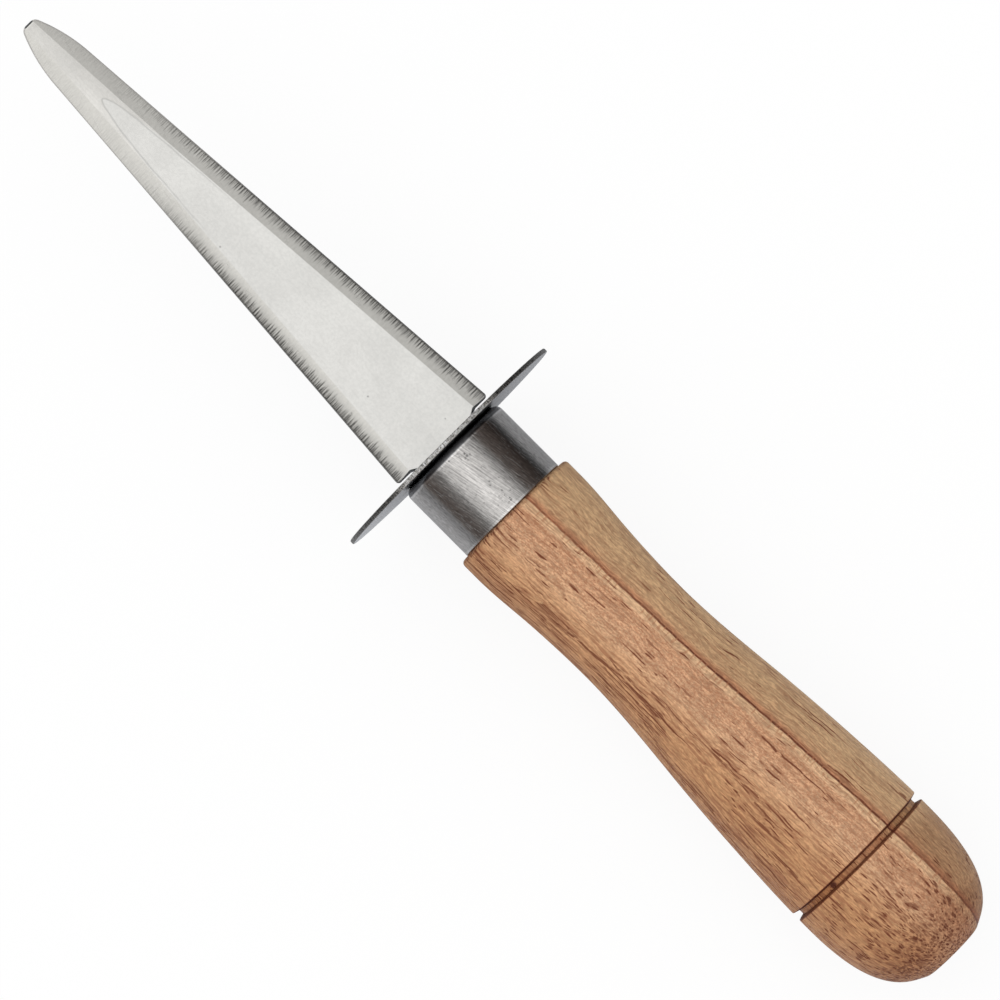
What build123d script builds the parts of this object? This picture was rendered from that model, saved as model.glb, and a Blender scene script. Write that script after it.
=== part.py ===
from build123d import *
import os

os.makedirs("parts", exist_ok=True)

# A lancet oyster knife: ground blade, round guard, drawn ferrule and turned hardwood handle.
# It lies along X with its butt at zero and its point forward, and the flats of the blade face up and down.
# All sizes are in millimetres.

# Handle: its belly and groove are placed from the butt, its waist and collar from the front of the wood
handle_length = 80.35
butt_flat_diameter = 8.6
butt_edge_radius = 1.6
belly_position = 15.75
belly_diameter = 22.2
waist_setback = 22.1
waist_diameter = 16.95
collar_setback = 2.65
collar_diameter = 18.95
collar_edge_radius = 0.6

# Curves of the handle between those places, as shares of each stretch's length and of its rise or fall
dome_shares = ((0.10, 0.40), (0.26, 0.70), (0.50, 0.90))
belly_to_waist_shares = ((0.27, 0.15), (0.55, 0.47), (0.80, 0.85))
waist_to_collar_shares = ((0.33, 0.16), (0.60, 0.50), (0.86, 0.92))
dome_start_shares = (0.5, 1)

# Groove turned in the belly
groove_position = 17.45
groove_mouth_width = 1.25
groove_floor_width = 0.72
groove_depth = 0.95
groove_lip_radius = 0.12

# Bore for the tang, drilled from the front
bore_diameter = 9.4
bore_past_tang = 2.0

# Ferrule
ferrule_length = 11.55
ferrule_diameter = 16.6
ferrule_wall = 0.7
ferrule_bend_radius = 0.4
ferrule_rim_radius = 0.4
tenon_fit = 0.04
tenon_end_gap = 0.3
tenon_chamfer = 0.6

# Guard
guard_diameter = 35.4
guard_thickness = 0.6
guard_rim_radius = 0.15

# Blade, from its shoulders at the heel to its blunt point
blade_length = 76.3
blade_thickness = 2.2
shoulder_standoff = 0.75
heel_width = 16.3
heel_corner_radius = 0.5
nose_length = 8.0
nose_root_width = 6.2
nose_tip_width = 2.1
nose_corner_radius = 0.7
edge_lean = 0.3

# Grinding of the blade: straight bevels, and a crowned face from the end of the flat to the point
bevel_width = 2.25
edge_thickness = 0.9
flat_end_setback = 13.9
tip_thickness = 1.98
tip_crown_radius = 17.5
heel_crown_radius = 41.4
grinding_overrun = 5.0

# Tang
tang_length = 48.0
tang_width = 7.9
tang_end_width = 4.6
tang_end_radius = 1.2
root_chamfer = 0.4
slot_clearance = 0.1
cement_clearance = 0.03

# Places along the knife
collar_front = handle_length
waist_position = collar_front - waist_setback
collar_position = collar_front - collar_setback
ferrule_front = collar_front + ferrule_length
guard_front = ferrule_front + guard_thickness
heel = guard_front + shoulder_standoff
tip = heel + blade_length
nose_root = tip - nose_length
flat_end = tip - flat_end_setback
tang_end = guard_front - tang_length
tenon_front = ferrule_front - ferrule_wall - tenon_end_gap
bore_end = tang_end - bore_past_tang

# Radii and widths that follow; the cut for the groove flares on past the surface, to twice the groove's depth
butt_flat_radius = butt_flat_diameter / 2
belly_radius = belly_diameter / 2
waist_radius = waist_diameter / 2
collar_radius = collar_diameter / 2
ferrule_nose_radius = ferrule_wall + ferrule_bend_radius
tenon_radius = ferrule_diameter / 2 - ferrule_wall - tenon_fit
flat_heel_width = heel_width - 2 * bevel_width
crown_fall = (blade_thickness - tip_thickness) / 2
groove_half_floor = groove_floor_width / 2
groove_half_cut = groove_mouth_width - groove_half_floor
slot_width = tang_width + 2 * slot_clearance
slot_height = blade_thickness + 2 * slot_clearance


def stretch_points(start, end, shares):
    """Points between two places on an outline, given as shares of the way along it and of its rise."""
    return [
        (start[0] + along * (end[0] - start[0]), start[1] + rise * (end[1] - start[1]))
        for along, rise in shares
    ]


def bevel_plane(side):
    """The ground plane that rises from the edge on one side of the blade to the flat of its upper face."""
    front = Vector(nose_root, side * nose_root_width / 2, edge_thickness / 2)
    back = Vector(heel, side * heel_width / 2, edge_thickness / 2)
    inward = Vector(0, 0, side).cross((back - front).normalized())
    rise = (blade_thickness - edge_thickness) / 2
    return Plane(
        origin=front,
        x_dir=back - front,
        z_dir=Vector(0, 0, 1) * bevel_width - inward * rise,
    )


def crown_height(position):
    """How high the crowned grinding stands above the blade's middle plane: it falls to the point."""
    return blade_thickness / 2 - crown_fall * (position - flat_end) / flat_end_setback


def crown_radius(position):
    """The radius of the crowned grinding, which shrinks to the point."""
    widening = (heel_crown_radius - tip_crown_radius) / blade_length
    return tip_crown_radius + widening * (tip - position)


def tang_points(extra=0):
    """Half the outline of the tapered tang behind the guard's front face, with room added all round."""
    return [
        (guard_front, 0),
        (guard_front, tang_width / 2 + extra),
        (tang_end - extra, tang_end_width / 2 + extra),
        (tang_end - extra, 0),
    ]


# Handle: one turning, bored for the tang
with BuildPart() as handle:
    butt_corner = (0, butt_flat_radius)
    belly = (belly_position, belly_radius)
    waist = (waist_position, waist_radius)
    collar = (collar_position, collar_radius)
    level = (1, 0)
    with BuildSketch(Plane.XZ) as turning:
        with BuildLine():
            Spline(
                butt_corner,
                *stretch_points(butt_corner, belly, dome_shares),
                belly,
                tangents=(dome_start_shares, level),
            )
            Spline(
                belly,
                *stretch_points(belly, waist, belly_to_waist_shares),
                waist,
                tangents=(level, level),
            )
            Spline(
                waist,
                *stretch_points(waist, collar, waist_to_collar_shares),
                collar,
                tangents=(level, level),
            )
            Polyline(
                collar,
                (collar_front, collar_radius),
                (collar_front, tenon_radius),
                (tenon_front, tenon_radius),
                (tenon_front, 0),
                (0, 0),
                butt_corner,
            )
        make_face()
        fillet(turning.vertices().group_by(Axis.X)[0].sort_by(Axis.Y)[-1], butt_edge_radius)
        chamfer(turning.vertices().group_by(Axis.X)[-1].sort_by(Axis.Y)[-1], tenon_chamfer)
        shoulder = turning.vertices().filter_by_position(Axis.X, collar_front, collar_front)
        fillet(shoulder.sort_by(Axis.Y)[-1], collar_edge_radius)
        with BuildLine():
            Polyline(
                (groove_position - groove_half_floor, belly_radius - groove_depth),
                (groove_position + groove_half_floor, belly_radius - groove_depth),
                (groove_position + groove_half_cut, belly_radius + groove_depth),
                (groove_position - groove_half_cut, belly_radius + groove_depth),
                close=True,
            )
        make_face(mode=Mode.SUBTRACT)
        groove = turning.vertices().filter_by_position(
            Axis.X,
            groove_position - groove_mouth_width,
            groove_position + groove_mouth_width,
        )
        fillet(groove.sort_by(Axis.Y)[-2:], groove_lip_radius)
    revolve(axis=Axis.X)

    with Locations(Plane(origin=(tenon_front, 0, 0), z_dir=(1, 0, 0))):
        Hole(bore_diameter / 2, depth=tenon_front - bore_end)

# Ferrule: a drawn cup with a slotted front
with BuildPart() as ferrule:
    with BuildSketch(Plane.YZ.offset(collar_front)):
        Circle(ferrule_diameter / 2)
    extrude(amount=ferrule_length)
    fillet(ferrule.edges().group_by(Axis.X)[-1], ferrule_nose_radius)
    offset(amount=-ferrule_wall, openings=ferrule.faces().sort_by(Axis.X)[0])
    fillet(ferrule.edges().group_by(Axis.X)[0].sort_by(SortBy.RADIUS)[-1], ferrule_rim_radius)
    with BuildSketch(Plane.YZ.offset(ferrule_front)):
        Rectangle(slot_width, slot_height)
    extrude(amount=-ferrule_wall, mode=Mode.SUBTRACT)

# Guard: a round plate, slotted for the tang
with BuildPart() as guard:
    with BuildSketch(Plane.YZ.offset(ferrule_front)):
        Circle(guard_diameter / 2)
        Rectangle(slot_width, slot_height, mode=Mode.SUBTRACT)
    extrude(amount=guard_thickness)
    fillet(guard.edges().filter_by(GeomType.CIRCLE), guard_rim_radius)

# Root: the full thickness of the blade drawn in from its shoulders to the tang, with its edges broken
with BuildPart() as root:
    with BuildSketch():
        with BuildLine():
            Polyline(
                (guard_front, 0),
                (guard_front, tang_width / 2),
                (heel, flat_heel_width / 2),
                (heel + edge_lean, flat_heel_width / 2),
                (heel + edge_lean, 0),
                close=True,
            )
        make_face()
        mirror(about=Plane.XZ)
    extrude(amount=blade_thickness / 2, both=True)
    chamfer(root.edges().filter_by_position(Axis.X, guard_front, heel, (False, False)), root_chamfer)

# Blade and tang: one piece of flat steel
with BuildPart() as blade:
    edge_end = (nose_root, nose_root_width / 2)
    heel_corner = (heel, heel_width / 2)
    tip_corner = (tip, nose_tip_width / 2)
    with BuildSketch() as middle_plan:
        with BuildLine():
            TangentArc(edge_end, tip_corner, tangent=Vector(edge_end) - Vector(heel_corner))
            Polyline(tip_corner, (tip, 0), (heel, 0), heel_corner, edge_end)
        make_face()
        mirror(about=Plane.XZ)
        fillet(middle_plan.vertices().group_by(Axis.X)[-1], nose_corner_radius)
        fillet(middle_plan.vertices().group_by(Axis.X)[0], heel_corner_radius)
    with BuildSketch(Plane.XY.offset(blade_thickness / 2)):
        add(middle_plan.sketch_local)
        offset(amount=-edge_lean)
    loft(ruled=True)
    for side in (1, -1):
        split(bisect_by=bevel_plane(side), keep=Keep.BOTTOM)
    for position in (heel - grinding_overrun, tip + grinding_overrun):
        with BuildSketch(Plane.YZ.offset(position)):
            with Locations((0, crown_height(position) - crown_radius(position))):
                Circle(crown_radius(position))
    loft(ruled=True, mode=Mode.INTERSECT)
    mirror(about=Plane.XY)

    add(root.part)
    with BuildSketch() as tang_plan:
        with BuildLine():
            Polyline(*tang_points(), close=True)
        make_face()
        mirror(about=Plane.XZ)
        fillet(tang_plan.vertices().group_by(Axis.X)[0], tang_end_radius)
    extrude(amount=blade_thickness / 2, both=True)

# Cement: fills the bore round the tang
with BuildPart() as tang_cement:
    with BuildSketch(Plane.YZ.offset(bore_end)):
        Circle(bore_diameter / 2 - cement_clearance)
    extrude(amount=tenon_front - bore_end)
    with BuildSketch():
        with BuildLine():
            Polyline(*tang_points(cement_clearance), close=True)
        make_face()
        mirror(about=Plane.XZ)
    extrude(amount=blade_thickness / 2 + cement_clearance, both=True, mode=Mode.SUBTRACT)

handle.part.label = "handle"
ferrule.part.label = "ferrule"
guard.part.label = "guard"
blade.part.label = "blade"
tang_cement.part.label = "tang_cement"

export_step(handle.part, "parts/handle.step")
export_step(ferrule.part, "parts/ferrule.step")
export_step(guard.part, "parts/guard.step")
export_step(blade.part, "parts/blade.step")
export_step(tang_cement.part, "parts/tang_cement.step")
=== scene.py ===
"""A lancet oyster knife: ground steel blade, round guard and drawn ferrule on a turned handle.

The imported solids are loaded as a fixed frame, with the butt at the origin, the point along +X and
the flats of the blade facing up and down. Each sub-assembly is a class that builds its meshes in
millimetres and dresses them.
"""

from __future__ import annotations

import logging
import math
from collections.abc import Iterable, Sequence
from dataclasses import dataclass
from enum import Enum, IntEnum

import bmesh
import bpy
import numpy as np
from mathutils import Matrix, Vector
from mathutils.geometry import interpolate_bezier

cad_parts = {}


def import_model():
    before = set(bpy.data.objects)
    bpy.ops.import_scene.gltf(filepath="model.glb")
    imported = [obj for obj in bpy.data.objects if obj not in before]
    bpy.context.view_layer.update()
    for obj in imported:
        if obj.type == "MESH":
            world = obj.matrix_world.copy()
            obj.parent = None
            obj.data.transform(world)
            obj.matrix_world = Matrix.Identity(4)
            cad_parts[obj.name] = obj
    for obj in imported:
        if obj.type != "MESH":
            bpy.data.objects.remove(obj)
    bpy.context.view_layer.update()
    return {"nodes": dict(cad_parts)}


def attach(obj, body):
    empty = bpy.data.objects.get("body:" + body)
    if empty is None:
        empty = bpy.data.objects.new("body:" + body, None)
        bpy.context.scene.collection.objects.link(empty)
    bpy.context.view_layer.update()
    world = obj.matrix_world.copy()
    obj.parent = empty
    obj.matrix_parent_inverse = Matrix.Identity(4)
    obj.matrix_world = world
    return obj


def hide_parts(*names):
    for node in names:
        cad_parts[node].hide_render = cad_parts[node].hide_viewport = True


LOG = logging.getLogger("oyster_knife")

MM = 0.001
FULL_TURN = 2 * math.pi
DEGREES = 180 / math.pi
WHITE = (1.0, 1.0, 1.0, 1.0)
BODY = "root"

# Most of a noise lies between the two values of the range.
NOISE_RANGE = (0.35, 0.65)
NOISE_MIDDLE = 0.5

Socket = bpy.types.NodeSocket
Value = float | Sequence[float] | Socket
Colour = tuple[int, int, int]
Light = tuple[float, float, float, float]
Stop = tuple[float, Colour]
Table = tuple[tuple[float, float], ...]
# A point of a plane and the way out of it.
Plane = tuple[Vector, Vector]
Triple = tuple[float, float, float]
# The tone, the roughness and the height of a finish.
Tones = tuple[Socket, Socket, Socket]
# Two places between which something comes or goes.
Span = tuple[float, float]
# The low, high, start and end of Graph.remap.
Ease = tuple[float, float, float, float]


def paint(red: int, green: int, blue: int) -> Light:
    """Turns a screen colour into the linear colour that a shader works in.

    Args:
        red: Red, from 0 to 255.
        green: Green, from 0 to 255.
        blue: Blue, from 0 to 255.

    Returns:
        Linear red, green and blue, and an alpha of 1.
    """
    linear = [
        c / 12.92 if c <= 0.04045 else ((c + 0.055) / 1.055) ** 2.4
        for c in (red / 255, green / 255, blue / 255)
    ]
    return (*linear, 1.0)


def around_one(change: float) -> Span:
    """Returns 1 less a change and 1 more by it."""
    return 1 - change, 1 + change


class Graph:
    """A node tree that is being wired, with short calls for the nodes that the finishes use."""

    def __init__(self, tree: bpy.types.NodeTree) -> None:
        """Starts on an empty or a new tree."""
        self.tree = tree

    def node(self, kind: str, **settings: object) -> bpy.types.Node:
        """Adds a node.

        Args:
            kind: The node's type, by its name in Blender.
            **settings: Properties of the node and what they are set to.

        Returns:
            The node.
        """
        made = self.tree.nodes.new(kind)
        for name, value in settings.items():
            setattr(made, name, value)
        return made

    def feed(self, socket: Socket, value: Value) -> None:
        """Links a socket to another, or gives it a plain value.

        Args:
            socket: The input that is fed.
            value: The output that it is linked to, or the value.
        """
        if isinstance(value, bpy.types.NodeSocket):
            self.tree.links.new(value, socket)
        else:
            socket.default_value = value

    def math(self, operation: str, *values: Value, clamp: bool = False) -> Socket:
        """Adds a Math node.

        Args:
            operation: The operation's name, such as "SQRT".
            *values: What it works on, in order.
            clamp: Whether the result is kept between 0 and 1.

        Returns:
            The result.
        """
        made = self.node("ShaderNodeMath", operation=operation, use_clamp=clamp)
        for socket, value in zip(made.inputs, values):
            self.feed(socket, value)
        return made.outputs[0]

    def times(self, first: Value, *others: Value) -> Socket:
        """Multiplies values.

        Args:
            first: The first value.
            *others: What it is multiplied by, one after the other.

        Returns:
            The product.
        """
        for other in others:
            first = self.math("MULTIPLY", first, other)
        return first

    def plus(self, first: Value, second: Value) -> Socket:
        """Adds two values."""
        return self.math("ADD", first, second)

    def minus(self, first: Value, second: Value) -> Socket:
        """Takes the second value from the first."""
        return self.math("SUBTRACT", first, second)

    def rest(self, share: Value) -> Socket:
        """Returns what is left of 1."""
        return self.math("SUBTRACT", 1.0, share)

    def most(self, first: Value, second: Value) -> Socket:
        """Returns the greater of two values."""
        return self.math("MAXIMUM", first, second)

    def scaled(self, value: Value, factor: Value, offset: Value) -> Socket:
        """Multiplies a value by a factor and adds an offset."""
        return self.math("MULTIPLY_ADD", value, factor, offset)

    def size(self, value: Value) -> Socket:
        """Returns a value without its sign."""
        return self.math("ABSOLUTE", value)

    def apart(self, first: Value, second: Value) -> Socket:
        """Returns how far apart two values are."""
        return self.size(self.minus(first, second))

    def shaded(self, tone: Value, mask: Value, dark: float) -> Socket:
        """Darkens a tone under a mask, by a share that says how dark."""
        return self.times(tone, self.rest(self.times(mask, dark)))

    def vector(self, operation: str, *values: Value) -> Socket:
        """Adds a Vector Math node.

        Args:
            operation: The operation's name, such as "LENGTH".
            *values: What it works on, in order.

        Returns:
            The resulting vector, or the number of an operation that makes one.
        """
        made = self.node("ShaderNodeVectorMath", operation=operation)
        for socket, value in zip(made.inputs, values):
            self.feed(socket, value)
        scalar = operation in ("DOT_PRODUCT", "LENGTH", "DISTANCE")
        return made.outputs["Value" if scalar else "Vector"]

    def split(self, vector: Socket) -> tuple[Socket, Socket, Socket]:
        """Takes a vector apart.

        Args:
            vector: The vector.

        Returns:
            Its X, Y and Z.
        """
        made = self.node("ShaderNodeSeparateXYZ")
        self.feed(made.inputs[0], vector)
        return tuple(made.outputs)

    def join(self, x: Value, y: Value, z: Value) -> Socket:
        """Puts a vector together.

        Args:
            x: Its X.
            y: Its Y.
            z: Its Z.

        Returns:
            The vector.
        """
        made = self.node("ShaderNodeCombineXYZ")
        for socket, value in zip(made.inputs, (x, y, z)):
            self.feed(socket, value)
        return made.outputs[0]

    def grey(self, tone: Value) -> Socket:
        """Returns the grey of a tone."""
        return self.join(tone, tone, tone)

    def remap(
        self, value: Value, low: Value, high: Value, start: Value = 0.0, end: Value = 1.0
    ) -> Socket:
        """Eases a value from one range into another.

        Args:
            value: What is remapped.
            low: The value that gives start.
            high: The value that gives end.
            start: The result at low and below it.
            end: The result at high and above it.

        Returns:
            The eased result.
        """
        made = self.node("ShaderNodeMapRange", interpolation_type="SMOOTHSTEP")
        for socket, entry in zip(made.inputs, (value, low, high, start, end)):
            self.feed(socket, entry)
        return made.outputs[0]

    def ramp(self, factor: Value, stops: Sequence[Stop]) -> Socket:
        """Adds a colour ramp.

        Args:
            factor: What chooses the colour, in the units of the places.
            stops: Places in rising order, each with its screen colour.

        Returns:
            The colour.
        """
        low, high = stops[0][0], stops[-1][0]
        made = self.node("ShaderNodeValToRGB")
        share = self.math("DIVIDE", self.minus(factor, low), high - low, clamp=True)
        self.feed(made.inputs[0], share)
        elements = made.color_ramp.elements
        elements.remove(elements[1])
        for index, (place, screen) in enumerate(stops):
            position = (place - low) / (high - low)
            element = elements.new(position) if index else elements[0]
            element.position = position
            element.color = paint(*screen)
        return made.outputs[0]

    def level(self, factor: Value, levels: Table) -> Socket:
        """Reads a number from a table.

        Args:
            factor: What chooses the number, in the units of the places.
            levels: Places in rising order, each with its number.

        Returns:
            The number, which changes evenly from place to place.
        """
        colour = self.ramp(factor, [(place, (0, 0, 0)) for place, _ in levels])
        for element, (_, value) in zip(colour.node.color_ramp.elements, levels):
            element.color = (value, value, value, 1.0)
        return self.split(colour)[0]

    def mix(self, factor: Value, first: Value, second: Value, blend: str = "MIX") -> Socket:
        """Blends two colours.

        Args:
            factor: How much of the second there is.
            first: The colour at a factor of 0.
            second: The colour at a factor of 1.
            blend: The blend mode.

        Returns:
            The blended colour.
        """
        made = self.node("ShaderNodeMix", data_type="RGBA", blend_type=blend)
        self.feed(made.inputs[0], factor)
        self.feed(made.inputs[6], first)
        self.feed(made.inputs[7], second)
        return made.outputs[2]

    def noise(
        self, vector: Socket, scale: float = 1.0, detail: float = 2.0, rough: float = 0.5
    ) -> Socket:
        """Adds a Noise texture.

        Args:
            vector: The place.
            scale: How fast it changes.
            detail: How many finer layers it has.
            rough: How strong each finer layer is.

        Returns:
            Its value, which is mostly between 0.3 and 0.7.
        """
        made = self.node("ShaderNodeTexNoise")
        self.feed(made.inputs["Vector"], vector)
        made.inputs["Scale"].default_value = scale
        made.inputs["Detail"].default_value = detail
        made.inputs["Roughness"].default_value = rough
        return made.outputs[0]

    def cells(self, vector: Socket) -> tuple[Socket, Socket]:
        """Adds a Voronoi texture.

        Args:
            vector: The place, counted in cells.

        Returns:
            The distance to the nearest point, and the colour of its cell.
        """
        made = self.node("ShaderNodeTexVoronoi")
        self.feed(made.inputs["Vector"], vector)
        made.inputs["Scale"].default_value = 1.0
        return made.outputs["Distance"], made.outputs["Color"]

    def place(
        self,
        vector: Socket,
        scale: Sequence[float] = (1.0, 1.0, 1.0),
        rotation: Sequence[float] = (0.0, 0.0, 0.0),
        location: Sequence[float] = (0.0, 0.0, 0.0),
    ) -> Socket:
        """Scales, turns and then moves a vector.

        Args:
            vector: The vector.
            scale: The factors along X, Y and Z.
            rotation: The turns round X, Y and Z, in radians.
            location: The shift.

        Returns:
            The changed vector.
        """
        made = self.node("ShaderNodeMapping")
        self.feed(made.inputs["Vector"], vector)
        made.inputs["Scale"].default_value = scale
        made.inputs["Rotation"].default_value = rotation
        made.inputs["Location"].default_value = location
        return made.outputs[0]

    def millimetres(self) -> Socket:
        """Returns the place on the piece, in millimetres."""
        return self.place(self.node("ShaderNodeTexCoord").outputs["Object"], (1 / MM,) * 3)

    def drawn_out(self, vector: Socket, length: Socket, width: Socket) -> Socket:
        """Counts a place in lengths along X and in widths across it.

        Args:
            vector: The place.
            length: The length.
            width: The width.

        Returns:
            The counted place.
        """
        across = self.math("DIVIDE", 1.0, width)
        scale = self.join(self.math("DIVIDE", 1.0, length), across, across)
        return self.vector("MULTIPLY", vector, scale)

    def group(self, tree: bpy.types.NodeTree, **inputs: Value) -> dict[str, Socket]:
        """Places a node group.

        Args:
            tree: The group.
            **inputs: Its inputs by name, in lower case, and what they are fed.

        Returns:
            Its outputs by name.
        """
        made = self.node("ShaderNodeGroup", node_tree=tree)
        for name, value in inputs.items():
            self.feed(made.inputs[name.capitalize()], value)
        return dict(made.outputs.items())

    def bump(self, height: Value, depth: float) -> Socket:
        """Turns a height into a normal.

        Args:
            height: The height.
            depth: What a height of 1 stands for, in millimetres.

        Returns:
            The normal.
        """
        made = self.node("ShaderNodeBump")
        made.inputs["Strength"].default_value = 1.0
        made.inputs["Distance"].default_value = depth * MM
        self.feed(made.inputs["Height"], height)
        return made.outputs[0]

    def blend(self, factor: Value, first: bpy.types.Node, second: bpy.types.Node) -> bpy.types.Node:
        """Blends two shaders.

        Args:
            factor: How much of the second there is.
            first: The shader at a factor of 0.
            second: The shader at a factor of 1.

        Returns:
            The blended shader.
        """
        made = self.node("ShaderNodeMixShader")
        for socket, value in zip(made.inputs, (factor, first.outputs[0], second.outputs[0])):
            self.feed(socket, value)
        return made


def new_material(name: str) -> tuple[bpy.types.Material, Graph, bpy.types.Node]:
    """Starts a material.

    Args:
        name: The material's name.

    Returns:
        The material, its graph and its Principled BSDF.
    """
    made = bpy.data.materials.new(name)
    made.use_nodes = True
    return made, Graph(made.node_tree), made.node_tree.nodes["Principled BSDF"]


def new_group(
    name: str, inputs: dict[str, float | None], outputs: Sequence[str]
) -> tuple[Graph, dict[str, Socket], dict[str, Socket]]:
    """Starts a shader node group.

    Args:
        name: The group's name.
        inputs: Each input's name and its usual value, or None for a vector.
        outputs: The names of the values that it puts out.

    Returns:
        The group's graph, its input sockets by name, and by name the sockets that take the results.
    """
    tree = bpy.data.node_groups.new(name, "ShaderNodeTree")
    for label, usual in inputs.items():
        kind = "NodeSocketVector" if usual is None else "NodeSocketFloat"
        made = tree.interface.new_socket(label, in_out="INPUT", socket_type=kind)
        if usual is not None:
            made.default_value = usual
    for label in outputs:
        tree.interface.new_socket(label, in_out="OUTPUT", socket_type="NodeSocketFloat")
    graph = Graph(tree)
    entry = graph.node("NodeGroupInput")
    leave = graph.node("NodeGroupOutput")
    given = {label: entry.outputs[label] for label in inputs}
    return graph, given, {label: leave.inputs[label] for label in outputs}


@dataclass(frozen=True)
class Effects:
    """The node groups that more than one finish uses, each built once."""

    streaks: bpy.types.NodeTree
    scratches: bpy.types.NodeTree
    pits: bpy.types.NodeTree

    @classmethod
    def build(cls) -> Effects:
        """Builds all the groups."""
        return cls(cls.build_streaks(), cls.build_scratches(), cls.build_pits())

    @staticmethod
    def build_streaks() -> bpy.types.NodeTree:
        """Makes the group for fine parallel marks, as from a belt, a wheel or the grain of wood.

        Returns:
            A group that takes a place in millimetres whose X runs along the marks, and puts out
            their height.
        """
        inputs = {"Place": None, "Length": 20.0, "Width": 0.3}
        graph, given, result = new_group("Streaks", inputs, ["Height"])
        stretched = graph.drawn_out(given["Place"], given["Length"], given["Width"])
        fine = graph.noise(stretched, 1.0, 3.0, 0.6)
        lowest, highest = 0.3, 0.7
        graph.feed(result["Height"], graph.remap(fine, lowest, highest))
        return graph.tree

    @staticmethod
    def build_scratches() -> bpy.types.NodeTree:
        """Makes the group for separate hairline scratches.

        Returns:
            A group that takes a place in millimetres whose X runs along the scratches, and puts
            out a mask of them.
        """
        inputs = {"Place": None, "Length": 8.0, "Spacing": 2.0, "Hairline": 0.03}
        graph, given, result = new_group("Scratches", inputs, ["Mask"])
        stretched = graph.drawn_out(given["Place"], given["Length"], given["Spacing"])
        break_ends, break_starts = 0.48, 0.6
        off_line = graph.apart(graph.noise(stretched, 1.0, 1.0, 0.4), NOISE_MIDDLE)
        line = graph.remap(off_line, 0.0, given["Hairline"], 1.0, 0.0)
        broken = graph.remap(graph.noise(stretched, 2.3, 2.0, 0.6), break_ends, break_starts)
        graph.feed(result["Mask"], graph.times(line, broken))
        return graph.tree

    @staticmethod
    def build_pits() -> bpy.types.NodeTree:
        """Makes the group for scattered pits, specks and pores.

        Returns:
            A group that takes a place counted in pit spacings, and puts out a mask of the pits
            and a softer, wider mask of what surrounds them.
        """
        inputs = {"Place": None, "Size": 0.1, "Share": 0.5}
        graph, given, result = new_group("Pits", inputs, ["Mask", "Halo"])
        shallowest, smallest, largest = 0.45, 0.55, 1.25
        floor_size, halo_start, halo_size = 0.6, 0.8, 2.0
        distance, own = graph.cells(given["Place"])
        own_share, own_size, own_depth = graph.split(own)
        chosen = graph.math("LESS_THAN", own_share, given["Share"])
        chosen = graph.times(chosen, graph.remap(own_depth, 0.0, 1.0, shallowest, 1.0))
        size = graph.times(given["Size"], graph.remap(own_size, 0.0, 1.0, smallest, largest))
        mask = graph.remap(distance, graph.times(size, floor_size), size, 1.0, 0.0)
        halo_edges = graph.times(size, halo_start), graph.times(size, halo_size)
        halo = graph.remap(distance, *halo_edges, 1.0, 0.0)
        graph.feed(result["Mask"], graph.times(mask, chosen))
        graph.feed(result["Halo"], graph.times(halo, chosen))
        return graph.tree


class Marks(Enum):
    """Which way the marks of grinding or polishing run."""

    ALONG = "along the knife"
    ACROSS = "across the knife, or round it"


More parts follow.
